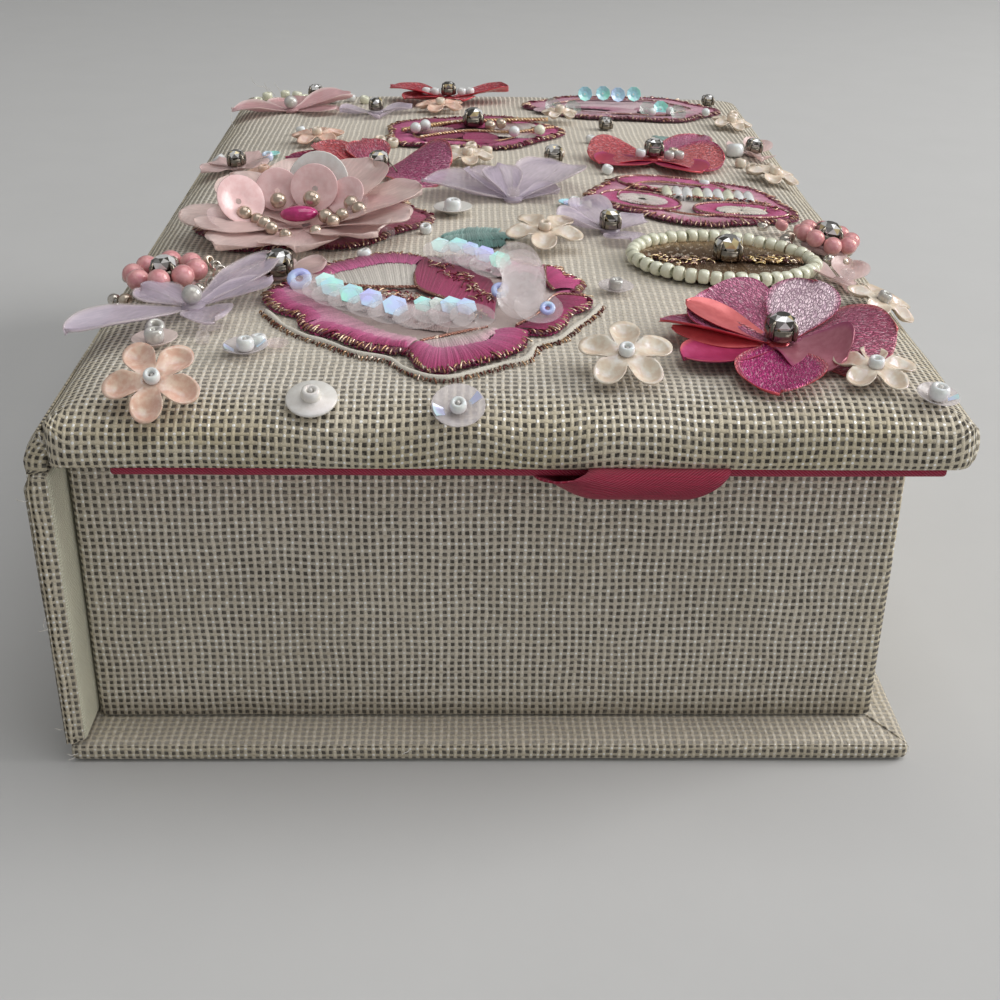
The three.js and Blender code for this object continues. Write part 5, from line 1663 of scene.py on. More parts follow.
# Its petals: the two edges that the stitches run between, the tones at each, height, arch and the
# points of a curve
front_rails = [
    (
        [
            (-36, -59.9), (-35, -64.2), (-33, -66.9), (-30, -69.5), (-29, -73), (-26.8, -75), (-23.7, -77),
            (-20, -80), (-17.6, -81), (-14.6, -81.6)
        ],
        [
            (-31.4, -57), (-29.6, -60.8), (-28, -64), (-26, -67.4), (-24, -70), (-22.2, -72.2), (-20, -74.4),
            (-17.6, -76.4), (-15.6, -77.6), (-13.4, -78.8)
        ],
        PINK, PALE_PINK, 0.72, 0.38, 60
    ),
    ([(-36.2, -60), (-35.2, -64), (-33, -66.7), (-30.4, -69), (-29.6, -72.8)],
     [(-34.6, -59.6), (-33.4, -63), (-31.6, -65.6), (-29, -68), (-27.6, -71.4)], MAGENTA, PINK, 0.95, 0.38, 60),
    ([(-28.4, -74.6), (-24.4, -77), (-20.4, -80.2), (-17.4, -81.4), (-14.8, -82)],
     [(-26.6, -72.8), (-23, -75.2), (-19.4, -78.2), (-17, -79.4), (-14.6, -80.2)], MAGENTA, PINK, 0.95, 0.38,
     60),
    ([(-26.6, -58.5), (-22, -60.6), (-17.6, -62.4), (-12.6, -65.4), (-8, -69)],
     [(-27.4, -64), (-22.6, -67.4), (-18, -71), (-13.6, -74.4), (-9, -76)], (0.66, 0.36, 0.42),
     (0.80, 0.66, 0.62), 0.70, 0.2, 60),
    ([(-31.9, -51.9), (-29, -49.2), (-25.2, -46.7), (-22, -44.4), (-17.6, -44), (-12.9, -46)],
     [(-29, -54.6), (-26.4, -52), (-23.4, -50.2), (-20.4, -48.6), (-17, -48.2), (-14.6, -49)], DARK_MAGENTA,
     PINK, 0.90, 0.5, 60),
    (
        [(-29.4, -54.2), (-26.4, -51.8), (-23.4, -50), (-20.4, -48.4), (-17, -48), (-14.4, -48.8)],
        [(-28.4, -56.6), (-25, -57.4), (-21.6, -58.4), (-18.8, -59), (-16, -59), (-13.8, -58.6)], CREAM,
        (0.84, 0.80, 0.72), 0.80, 0.3, 60
    ),
    (
        [(-14.2, -54), (-13.6, -49), (-12.2, -46.3), (-8.1, -50), (-4.9, -53.4), (-2.2, -57.7), (-1.7, -64.3)],
        [(-14, -56), (-13.8, -58.4), (-13.2, -60.4), (-10.6, -63), (-8, -65.6), (-5, -69.6), (-2.2, -71.8)],
        (0.30, 0.010, 0.07), (0.50, 0.05, 0.17), 1.0, 0.5, 60
    ),
    ([(-8.1, -45.3), (-4, -45.2), (0.4, -46.2), (3.6, -49), (6, -50.2)],
     [(-8, -48.6), (-5, -50.6), (-1.8, -53.4), (1.2, -56.2), (4, -59)], PINK, PALE_PINK, 0.85, 0.38, 60),
    ([(6.2, -50.6), (8.4, -50.8), (9.4, -53.6), (12, -57.2), (10.6, -59.6)],
     [(5.6, -54.4), (6, -56), (6.4, -57.6), (6.8, -59), (7.2, -60.2)], BRIGHT_PINK, MAGENTA, 1.0, 0.38, 60),
    ([(12.4, -63.9), (11.8, -66.9), (9.6, -69), (8.5, -71.3), (7.7, -73.8), (5.6, -76.3)],
     [(7.4, -63.6), (6.9, -66), (6, -68), (4.8, -70.6), (3.4, -72.8), (1.4, -75)], MAGENTA, DARK_MAGENTA, 1.0,
     0.38, 60),
    (
        [
            (2.4, -76.8), (2.2, -79.5), (1.2, -82), (-0.7, -84), (-4.3, -86.2), (-6.9, -87.5), (-9.3, -89.2),
            (-11.3, -88.8), (-12.8, -86.4), (-14, -82.2)
        ],
        [
            (-1.4, -76.2), (-1.6, -78.2), (-2.6, -79.8), (-4, -80.8), (-6, -81.8), (-7.8, -82.4), (-9.4, -82.8),
            (-10.6, -82.6), (-11.6, -81.8), (-12.4, -80.6)
        ],
        MAGENTA, PINK, 1.0, 0.5, 80
    ),
    ([(-1.6, -76), (-3.6, -80), (-7, -82), (-10, -82.4), (-12, -80.8)],
     [(-2.6, -75.8), (-5, -77), (-8, -78), (-10.4, -79), (-12.4, -79.6)], PALE_PINK, CREAM, 0.95, 0.3, 60)
]
for k, (a, b, tone_a, tone_b, lift, arch, count) in enumerate(front_rails):
    satin_fill(piece, spline(a, count), spline(b, count), tone_a, tone_b, lift=lift, arch=arch, seed=5 + k)
PIPING_SHADES = [(0.30, 0.14, 0.09), (0.13, 0.04, 0.04), (0.60, 0.38, 0.22), (0.16, 0.06, 0.05)]
GOLDS = [(0.62, 0.36, 0.24), (0.78, 0.56, 0.38), (0.30, 0.05, 0.08), (0.45, 0.20, 0.16)]
edge_trim(piece, front, middle, 0.75)
fleck_band(
    piece, [(-27, -58.4), (-22.6, -60.6), (-17.9, -62.4), (-13.3, -64.8), (-9.4, -68), (-4.4, -71)], 2.6, 1.05,
    150, 17, GOLDS
)
fleck_band(piece, [(-11, -50), (-7.6, -56), (-5, -61), (-3.4, -66)], 3.0, 1.5, 60, 18, GOLDS)
for line in (
    [(-31.6, -52.6), (-28.4, -57), (-21, -59.6), (-13.4, -60)],
    [(-14.2, -54), (-13.4, -60.4), (-8, -66), (-3, -71.6)], [(-12.6, -80.6), (-8.4, -78.4), (-3, -75.6)],
    [(6.6, -50.8), (6.4, -57), (7.4, -61)], [(12, -63.6), (7.6, -63.2), (4.6, -70.6), (1.2, -75)]
):
    cord(piece, spline(line, 40), 1.25, radius=0.16, closed=False, tone=(0.50, 0.26, 0.20), pitch=1.0)

# White piping round its front, with metal stitches along the outside
rng = random.Random(7)
piping = even(
    spline(
        [
            (-36.2, -66.9), (-33, -72.6), (-29.6, -76.6), (-25.6, -79.6), (-21.1, -83.2), (-16.8, -85.0),
            (-14.6, -88.2), (-11.2, -90.6), (-8.2, -90.9), (-5.0, -89.2), (-0.9, -86.6), (2.4, -84.8),
            (3.9, -80.4), (7.2, -78.2), (10.0, -73.4), (12.4, -69.6), (14.2, -65.6)
        ],
        160
    ),
    1.1
)
girth = [0.50 + 0.22 * noise.noise(Vector((k / 4.0, 0.0, 0.0))) for k in range(len(piping))]
points, faces = tube(on_cloth(piping, 0.34), girth, 7)
piece.add(points, faces, PIPING, tone=(0.74, 0.70, 0.60))
outside = np.array([middle + (q - middle) * (1 + 0.75 / np.linalg.norm(q - middle)) for q in piping])
for q in even(outside, 0.62):
    way = unit(middle - q) + np.array([rng.uniform(-0.7, 0.7), rng.uniform(-0.7, 0.7)])
    ends = on_cloth([q - way * rng.uniform(0.1, 0.45), q + way * rng.uniform(0.2, 0.8)], 0.3)
    ends[0][2] -= 0.15
    stitch(piece, ends[0], ends[1], rng.uniform(0.10, 0.17), 0.3, GOLD, rng.choice(PIPING_SHADES))

# Sprays of clear sequins, with small cut ones that shine in colours before them
low_spray = [
    (-29.7, -61.6), (-27.6, -64.0), (-26, -66.0), (-23.4, -68.2), (-20.4, -70.4), (-17.2, -73.0),
    (-13.4, -74.6), (-10.8, -73.2), (-8.2, -74.2), (-5.2, -74.6)
]
for k, (x, y) in enumerate(low_spray):
    standing_sequin(piece, x, y, 1.35 + 0.1 * (k % 2), 6.8, CLEAR, -55 - 3 * k, 10, flat=False)
for x, y in [(-10.0, -48.4), (-7.2, -49.8), (-4.8, -52.0), (-2.6, -55)]:
    standing_sequin(piece, x, y, 1.8, 6.4, CLEAR, -70, 16, flat=False)
MINT, PALE_MINT, SKY, PERIWINKLE = (0.58, 1.0, 0.84), (0.86, 1.0, 0.95), (0.74, 0.88, 1.0), (0.74, 0.74, 1.0)
for x, y, size, tone in [
    (-27.6, -60.4, 3.4, PALE_MINT), (-26.3, -63.0, 4.0, MINT), (-23.2, -66.0, 4.0, MINT),
    (-20.2, -67.9, 3.8, PERIWINKLE), (-16.5, -70.9, 4.0, SKY), (-12.4, -70.3, 3.0, MINT),
    (-10.3, -70.3, 2.6, (1.0, 1.0, 0.8)), (-8.2, -70.9, 3.6, SKY), (-6.0, -71.3, 3.2, PERIWINKLE),
    (-10.2, -44.9, 3.4, PALE_MINT), (-7.3, -45.2, 3.6, MINT), (-5.3, -46.6, 3.0, PERIWINKLE),
    (-3.1, -49.2, 3.6, PERIWINKLE), (-0.7, -52.0, 3.8, MINT)
]:
    origin, spin = on_lid(x, y, 2.55)
    lean = spin @ turn_about("Z", -75) @ turn_about("Y", 30)
    add_turned(
        piece, [(0, -0.06), (size / 2, -0.06), (size / 2, 0.06), (size * 0.2, 0.14), (0, 0.14)], 6, RAINBOW,
        origin, lean, tone=tone, flat=True
    )
high_spray = [(1.8, -55.5), (2.3, -58.6), (2.5, -61.6), (2.4, -64.6), (2.1, -67.6), (1.5, -70.4)]
for k, (x, y) in enumerate(high_spray):
    standing_sequin(piece, x, y, 2.9, 7.2 - 0.1 * k, CLEAR, -78, 42, flat=False)
standing_sequin(piece, 4.4, -72.2, 1.9, 7.4, CLEAR, -80, 18, flat=False)
for x, y, size, lift in [(-31.9, -57.9, 4.0, 1.9), (-1.0, -65.0, 2.8, 2.4), (5.9, -71.4, 2.4, 2.2)]:
    origin, spin = on_lid(x, y, lift)
    seed_bead(piece, origin, RAINBOW, size, spin @ turn_about("X", 35), PERIWINKLE, height=0.7)
dress(piece, "lid", ["embroidered_flower_front"])


def side_patch(side, outline, centre, tones, extra=None, gold=(0.50, 0.28, 0.20), seed=20):
    """Embroidered flower: ground, stitches from the rim inward, an edge of metal thread."""
    piece = Piece(f"embroidered_flower_{side}_stitches")
    outer, inner, ground = tones
    band = shrink(outline, 0.70, centre)
    base_patch(piece, outline, ground)
    satin_fill(piece, outline, band, outer, inner, lift=0.55, arch=0.35, closed=True, seed=seed)
    edge_trim(piece, outline, centre, 0.72, spacing=0.85, seed=seed, gold=gold)
    cord(piece, band, 1.0, radius=0.15, tone=gold, pitch=1.0)
    if extra:
        extra(piece)
    dress(piece, "lid", [f"embroidered_flower_{side}"])


def right_extra(piece):
    """Three lobes in thread, two pale hearts and a row of long beads."""
    for lobe, a, b in [
        (oval(26, -12, 7.5, 5.5, turn=-20), PINK, MAGENTA),
        (oval(44.5, -14.5, 9.0, 4.6, turn=8), PINK, MAGENTA),
        (oval(33.5, 0.0, 10.5, 5.5, turn=-8), MAGENTA, PINK),
    ]:
        satin_fill(piece, lobe, shrink(lobe, 0.62), a, b, lift=0.9, arch=0.3, closed=True, seed=31)
        cord(piece, lobe, 1.15, radius=0.16, tone=(0.52, 0.28, 0.24), pitch=1.0)
    for k in range(9):
        origin, spin = on_lid(31.5 + 1.95 * k, -4.6 + 0.05 * k, 1.35)
        seed_bead(
            piece, origin, WHITE_BEAD if k % 3 else CREAM_BEAD, 2.15, spin @ turn_about("X", 98), height=4.4
        )
    for heart, a, b, arch, seed in [
        (oval(44.5, -14.5, 4.4, 2.2, turn=8), CREAM, (0.80, 0.74, 0.62), 0.25, 32),
        (oval(26.5, -11.5, 4.4, 3.2, turn=-20), (0.80, 0.66, 0.64), CREAM, 0.2, 33),
    ]:
        satin_fill(piece, heart, shrink(heart, 0.3), a, b, lift=1.1, arch=arch, closed=True, seed=seed)
    fleck_band(piece, [(25, -3), (31, -6.4), (38, -8.6), (46, -8.0), (52, -12.4)], 2.2, 1.3, 90, 34, GOLDS)


side_patch(
    "right",
    oval(36, -8.5, 20.2, 15.6, lobes=5, depth=0.055, phase=90, count=150, turn=-6), (36, -8.5),
    ((0.50, 0.05, 0.20), PALE_PINK, (0.70, 0.62, 0.58)), extra=right_extra, seed=22,
)


def mid_extra(piece):
    """Seven small petals, two gold stems, pearls and a stone."""
    for k in range(7):
        a = math.radians(25 + 360 * k / 7)
        lobe = oval(-5 + 9.6 * math.cos(a), 43 + 8.4 * math.sin(a), 5.6, 3.4, turn=math.degrees(a))
        half = len(lobe) // 2
        satin_fill(
            piece, lobe[:half], lobe[half:][::-1], DARK_MAGENTA, MAGENTA if k % 3 else CREAM, lift=0.95,
            arch=0.4, seed=40 + k
        )
    for stem, lift, radius, tone in [
        ([(-20, 40), (-10, 47), (0, 50), (12, 52)], 1.7, 0.3, (0.72, 0.50, 0.28)),
        ([(-16, 33), (-6, 39), (4, 38), (13, 44)], 1.6, 0.22, (0.66, 0.44, 0.26)),
    ]:
        cord(piece, spline(stem, 50), lift, radius=radius, closed=False, tone=tone)
    for x, y, material in [
        (-17, 38, WHITE_BEAD), (-15, 41, WHITE_BEAD), (-1, 40, GOLD_PEARL), (1.4, 42, GOLD_PEARL),
        (4, 34, WHITE_BEAD), (9.5, 36, CREAM_BEAD)
    ]:
        pearl(piece, on_lid(x, y, 1.4)[0], material, 2.4)
    origin, spin = on_lid(-4.6, 46.5, 1.2)
    rhinestone(piece, origin, spin)


side_patch(
    "mid",
    oval(-5, 43, 20.2, 17.6, lobes=5, depth=0.065, phase=20, count=150, turn=6), (-5, 43),
    (MAGENTA, PINK, DARK_MAGENTA), extra=mid_extra, gold=(0.68, 0.46, 0.28), seed=24,
)


def back_extra(piece):
    """Two lobes in thread, standing sequins and pearls."""
    for lobe, a, b, seed in [
        (oval(22, 70, 12, 5.0, turn=4), (0.66, 0.46, 0.50), (0.52, 0.20, 0.30), 61),
        (oval(42, 72, 8, 4.4, turn=-8), (0.52, 0.20, 0.30), (0.70, 0.55, 0.56), 62),
    ]:
        satin_fill(piece, lobe, shrink(lobe, 0.55), a, b, lift=0.9, arch=0.3, closed=True, seed=seed)
    for k, x in enumerate([22.5, 27.0, 30.5, 34.5]):
        standing_sequin(piece, x, 82 + 1.5 * (k % 2), 2.6, 3.6, RAINBOW, -85, 70, (MINT, MINT, SKY, MINT)[k])
    for k, (x, y) in enumerate([(39.5, 70), (43, 66), (36, 68), (14, 69), (18.5, 66)]):
        standing_sequin(piece, x, y, 1.6, 4.0, RAINBOW if k == 0 else CLEAR, -80, 60, MINT)
    for x, y in [(37, 65), (41.5, 67.5), (50, 68)]:
        pearl(piece, on_lid(x, y, 1.0)[0], WHITE_BEAD, 2.0)


side_patch(
    "back", oval(31, 76, 23.6, 15.6, lobes=6, depth=0.055, count=150), (31, 76),
    ((0.52, 0.16, 0.27), (0.78, 0.50, 0.58), (0.66, 0.46, 0.50)), extra=back_extra, gold=(0.46, 0.26, 0.24),
    seed=26
)
side_patch(
    "left",
    oval(-33, -24, 21.2, 16.6, lobes=6, depth=0.065, phase=60, count=150, turn=4), (-33, -24),
    ((0.40, 0.04, 0.13), (0.62, 0.20, 0.28), (0.62, 0.40, 0.42)), gold=(0.46, 0.26, 0.20), seed=28,
)

# Gold oval: metal thread inside a ring of seed beads
piece = Piece("gold_oval_beads")
OVAL_MIDDLE = (36.3, -44.5)
ring = oval(*OVAL_MIDDLE, 14.6, 10.8, count=160, turn=3, pointed=0.04)
base_patch(piece, ring, (0.16, 0.095, 0.06), lift=0.55, material=GOLD)
upper, lower = ring[4:78], ring[84:156]
for rail, aside, seed in ((upper, 0.25, 71), (lower, -0.25, 72)):
    vein = spline([tuple(rail[0]), OVAL_MIDDLE, tuple(rail[-1])], len(rail)) + aside * np.array([0, 1])
    satin_fill(
        piece, shrink(rail, 0.93, OVAL_MIDDLE), vein, (0.66, 0.46, 0.28), (0.22, 0.13, 0.08), lift=0.75,
        arch=0.7, width=0.46, spacing=0.36, material=GOLD, seed=seed
    )
for line, lift, seed, shades in [
    ([(25.5, -46.4), (29, -47.4), (33, -46.6)], 1.55, 73, [(0.95, 0.74, 0.40), (0.90, 0.66, 0.50)]),
    ([(40.5, -44.8), (44, -43.6), (47.5, -43.8)], 1.5, 74, [(1.0, 0.80, 0.38), (0.85, 0.60, 0.30)]),
]:
    fleck_band(piece, line, 3.4, lift, 60, seed, shades + [(0.12, 0.05, 0.05)])
cord(
    piece, spline([(23, -45.2), (30, -44.8), (36, -44.5), (44, -44), (49, -43.8)], 50), 1.2, radius=0.22,
    closed=False, tone=(0.20, 0.12, 0.08)
)
beads = even(ring, 1.95, True)
for k, p in enumerate(beads):
    ahead = beads[(k + 1) % len(beads)] - beads[k - 1]
    heading = math.degrees(math.atan2(ahead[1], ahead[0]))
    rng = random.Random(200 + k)
    origin, spin = on_lid(*p, lift=1.55 + rng.uniform(-0.1, 0.15))
    spin = spin @ turn_about("Z", heading + rng.uniform(-9, 9)) @ turn_about("Y", 90)
    seed_bead(
        piece, seat(origin, spin, 0, 0, -0.85), CREAM_BEAD, 2.45 * rng.uniform(0.94, 1.05), spin, height=1.75
    )
origin, spin = on_lid(37.0, -43.6, 1.0)
rhinestone(piece, origin, spin, 4.9, 4.0)
dress(piece, "lid", ["gold_oval_motif"])

# Leaves of teal stitches
TEAL = (0.13, 0.30, 0.27)
PALE_TEAL = (0.42, 0.60, 0.55)
piece = Piece("embroidered_leaf_mid_stitches")
for a, b, tones in [
    ([(-10.4, -37.5), (-4, -36.2), (2.6, -34.5)], [(-9.5, -34.2), (-4.5, -31.8), (1.0, -32.6)],
     (TEAL, PALE_TEAL)),
    ([(-9.6, -33.0), (-5.5, -29.6), (-0.5, -30.4)], [(-10.3, -34.2), (-6, -33.4), (-1, -32.4)],
     (PALE_TEAL, TEAL)),
    ([(-10.6, -39.4), (-5, -40.6), (0.4, -38.4)], [(-10.2, -38.0), (-5, -37.2), (0.2, -36.2)], (TEAL, TEAL))
]:
    satin_fill(piece, spline(a, 24), spline(b, 24), *tones, lift=0.5, arch=0.25, seed=81, ragged=0.7)
dress(piece, "lid", ["embroidered_leaf_mid"])
piece = Piece("embroidered_leaf_right_stitches")
for a, b in [
    ([(35, 44.5), (41, 42.6), (48, 36.8)], [(35.6, 43.0), (41, 40.4), (47.6, 36.0)]),
    ([(35.6, 42.8), (41, 40.0), (47.4, 35.8)], [(36.4, 41.6), (41, 38.4), (46.8, 35.4)])
]:
    satin_fill(piece, spline(a, 24), spline(b, 24), TEAL, PALE_TEAL, lift=0.5, arch=0.3, seed=83, ragged=0.6)
dress(piece, "lid", ["embroidered_leaf_right"])

# Film and organza flowers
WHITE = (1, 1, 1)
ROSY = (1.0, 0.88, 0.90)
LILAC_TINT = (0.94, 0.90, 1.0)
piece = Piece("organza_flower_petals")
origin, spin = on_lid(-33.8, -28.5, TRIM_GAP + OVER_STITCHES)
for azimuth, length, width, rise in [
    (8, 20.5, 14.5, 13), (52, 18.5, 13.5, 20), (95, 17.5, 13.5, 21), (138, 19.5, 13.5, 16),
    (182, 21.5, 14.5, 8), (226, 19.5, 13.5, 5), (270, 17.5, 13.5, 5.5), (316, 18.5, 13.5, 7),
    (-22, 20.0, 12.0, 10), (200, 19.0, 11.0, 10.5)
]:
    film_petal(
        piece, origin, spin, azimuth, length, width, rise, 0.10, 0.0, ORGANZA, (0.98, 0.80, 0.80), WHITE,
        (1.08, 1.04, 1.02), peak=0.68, wave=0.7, neck=0.35, seed=azimuth
    )
for x, y, size, material, lean, facing, height in [
    (-45.0, -28.3, 8.8, PALE_CUP, 60, -52, 6.0), (-38.8, -23.4, 7.6, PALE_CUP, 64, -80, 6.2),
    (-32.2, -23.6, 8.4, PALE_CUP, 64, -92, 6.2), (-31.6, -21.2, 10.6, WHITE_CUP, 66, -90, 6.6),
    (-26.4, -25.4, 7.2, PALE_CUP, 50, -120, 4.8), (-24.2, -30.5, 5.2, CLEAR, 40, -150, 4.0),
    (-47.8, -33.5, 5.6, CLEAR, 40, -20, 4.0)
]:
    place, lie = on_lid(x, y, height)
    cup_sequin(
        piece, place, lie @ turn_about("Z", facing) @ turn_about("Y", lean), size, material,
        tone=ROSY if material is not WHITE_CUP else WHITE, flat=False
    )
for x, y, lift, size in [
    (-42.7, -25.2, 4.4, 3.0), (-44.0, -29.6, 4.2, 2.8), (-38.4, -26.6, 5.2, 2.9), (-32.6, -27.0, 5.2, 3.1),
    (-25.8, -27.4, 4.4, 2.8), (-24.4, -29.4, 4.0, 2.7), (-40.2, -33.2, 3.4, 2.6), (-38.8, -35.2, 3.2, 2.4),
    (-30.0, -31.4, 3.6, 2.6), (-28.6, -33.4, 3.4, 2.4), (-31.4, -35.6, 2.6, 2.2), (-36.4, -36.4, 2.4, 2.2),
    (-41.8, -30.4, 3.4, 2.4), (-27.2, -31.0, 3.8, 2.3)
]:
    pearl(piece, on_lid(x, y, lift - 1.2)[0], GOLD_PEARL, size, spin)
pearl(piece, on_lid(-34.6, -30.4, 2.6)[0], MAGENTA_BEAD, 4.6, spin @ np.diag([1.45, 0.8, 0.62]))
dress(piece, "lid", ["organza_flower"])

# Film flowers: place, lift, film, tint, what is in the middle, then for each petal azimuth, length,
# width, rise and, where they aren't the usual ones, cup and curl
USUAL_CUP_CURL = (0.2, 0.0)
film_flowers = {
    "lavender_flower_left": (
        (-47, -66.5), 1.2, LILAC, LILAC_TINT, "pearl",
        [
            (216, 20, 8.5, 6, 0.22, -0.03), (56, 19, 7.5, 8), (150, 10, 8, 10),
            (-60, 9, 8, 6), (30, 13, 7, 8, 0.3)
        ]
    ),
    "lavender_flower_stone": (
        (-35.7, -52.0), TRIM_GAP, ORGANZA, ROSY, "stone",
        [(206, 8.5, 8.5, 6), (12, 7.5, 8.5, 12), (-20, 8.5, 7, 5), (100, 6, 6, 10)]
    ),
    "lavender_flower_mid": (
        (2.5, -12.5), TRIM_GAP, LILAC, LILAC_TINT, "bead",
        [
            (160, 18, 11.5, 6, 0.30), (54, 19, 13.5, 9, 0.30), (105, 11, 7.5, 19, 0.3),
            (128, 13, 7, 13, 0.35), (20, 9, 7, 7, 0.3)
        ]
    ),
    "lavender_flower_right": (
        (18.8, -29.8), TRIM_GAP, LILAC, LILAC_TINT, "stone",
        [(190, 9.5, 8.5, 15, 0.3), (120, 9.5, 8.5, 16, 0.3), (-70, 8.5, 7.5, 8), (35, 7.5, 6.5, 12)]
    ),
    "lavender_flower_far_left": (
        (-52.4, 18), TRIM_GAP, ORGANZA, ROSY, "stone",
        [(200, 7.5, 8.5, 8), (60, 7.5, 8.5, 10), (-40, 7.5, 7.5, 12), (130, 7, 7, 9)]
    ),
    "lavender_flower_back": (
        (-27.2, 68), TRIM_GAP, LILAC, LILAC_TINT, "stone",
        [(190, 8.5, 7.5, 6), (10, 8.5, 7.5, 8), (-80, 7.5, 7.5, 4)]
    ),
    "mauve_flower_back": (
        (-47.5, 72.5), TRIM_GAP, ORGANZA, (0.86, 0.60, 0.66), "pearl",
        [(186, 14, 11.5, 4, 0.28), (28, 15.5, 11.5, 8, 0.28), (100, 10.5, 10.5, 6), (-20, 12, 8, 4.5)]
    ),
    "pink_flower_far_right": (
        (55.2, 34.5), TRIM_GAP, ORGANZA, ROSY, "stone",
        [(70, 7.5, 6.5, 12), (-80, 6.5, 6.5, 8), (190, 6, 6, 8)]
    ),
    "pink_flower_right": (
        (55.5, -49.5), TRIM_GAP, ORGANZA, ROSY, "bead",
        [(70, 7.5, 6.5, 12), (-100, 5.5, 6.5, 8), (160, 6.5, 6, 9)]
    )
}
for name, (spot, height, material, tint, heart, petals) in film_flowers.items():
    piece = Piece(f"{name}_petals")
    origin, spin = on_lid(*spot, lift=height)
    for k, (azimuth, *form) in enumerate(petals):
        form += USUAL_CUP_CURL[len(form) - 3:]
        notch = 0.14 if name == "lavender_flower_mid" and k == 1 else 0.0
        shape = dict(peak=0.62, wave=0.55, neck=0.22, seed=azimuth, notch=notch)
        inner = tuple(0.86 * c for c in tint)
        film_petal(piece, origin, spin, azimuth, *form, material, inner, tint, (1.1, 1.06, 1.08), **shape)
        if name in ("lavender_flower_mid", "lavender_flower_left") and k < 3:
            # The rims and the midrib of the large clear petals stand out as threads
            grid = petal_grid(*form, **shape)
            turn = spin @ turn_about("Z", azimuth)
            for column, last, radius in ((0, -1, 0.20), (5, -5, 0.12), (10, -1, 0.20)):
                points, faces = tube(move(grid[1:last, column], origin, turn), radius, 5)
                piece.add(points, faces, CLEAR)
    normal = spin @ np.array([0, 0, 1.0])
    add_turned(piece, [(0, -0.1), (1.7, -0.1), (1.9, 0.5), (0, 0.8)], 12, material, origin, spin, tone=tint)
    if heart == "stone":
        rhinestone(piece, origin + 0.7 * normal, spin)
    elif heart == "pearl":
        pearl(piece, origin + 0.6 * normal, GREY_PEARL, PEARL_DIAMETER, spin)
    else:
        seed_bead(piece, origin + 0.6 * normal, CLEAR, 2.5, spin)
    dress(piece, "lid", [name])

# Pearl clusters: pink pearls round a stone, small silver-lined beads round them
for name, spot, count, radius, size, beads, outer, beneath in [
    ("left", (-53.5, -53.2), 8, 5.0, 3.7, 18, 8.6, 0.0),
    ("right", (55.2, -34.6), 8, 4.1, 3.2, 15, 6.9, OVER_STITCHES),
]:
    piece = Piece(f"pearl_cluster_{name}_beads")
    rng = random.Random(len(name))
    origin, spin = on_lid(*spot, lift=TRIM_GAP + beneath)
    add_turned(
        piece, [(0, 0), (radius, 0), (radius, 0.9), (0, 1.2)], 20, PIPING, origin, spin, tone=(0.66, 0.45, 0.45)
    )
    for k in range(count):
        a = 2 * math.pi * k / count
        pearl(
            piece, seat(origin, spin, radius * math.cos(a), radius * math.sin(a), 0.4 + rng.uniform(0, 0.5)),
            PINK_PEARL, size, spin
        )
    for k in range(beads):
        a = 2 * math.pi * (k + rng.uniform(-0.2, 0.2)) / beads
        r = outer + rng.uniform(-0.4, 0.5)
        x, y = spot[0] + r * math.cos(a), spot[1] + r * math.sin(a)
        if abs(x) > LID_HALF_WIDTH - 1.6:
            continue
        place, lean = on_lid(x, y, 1.25)
        material = SILVER_BEAD if k % 3 else GOLD_PEARL
        seed_bead(piece, place, material, 2.1, lean @ turn_about("Z", math.degrees(a)) @ turn_about("X", 70))
    rhinestone(piece, seat(origin, spin, 0, 0, 1.0), spin)
    dress(piece, "lid", [f"pearl_cluster_{name}"])

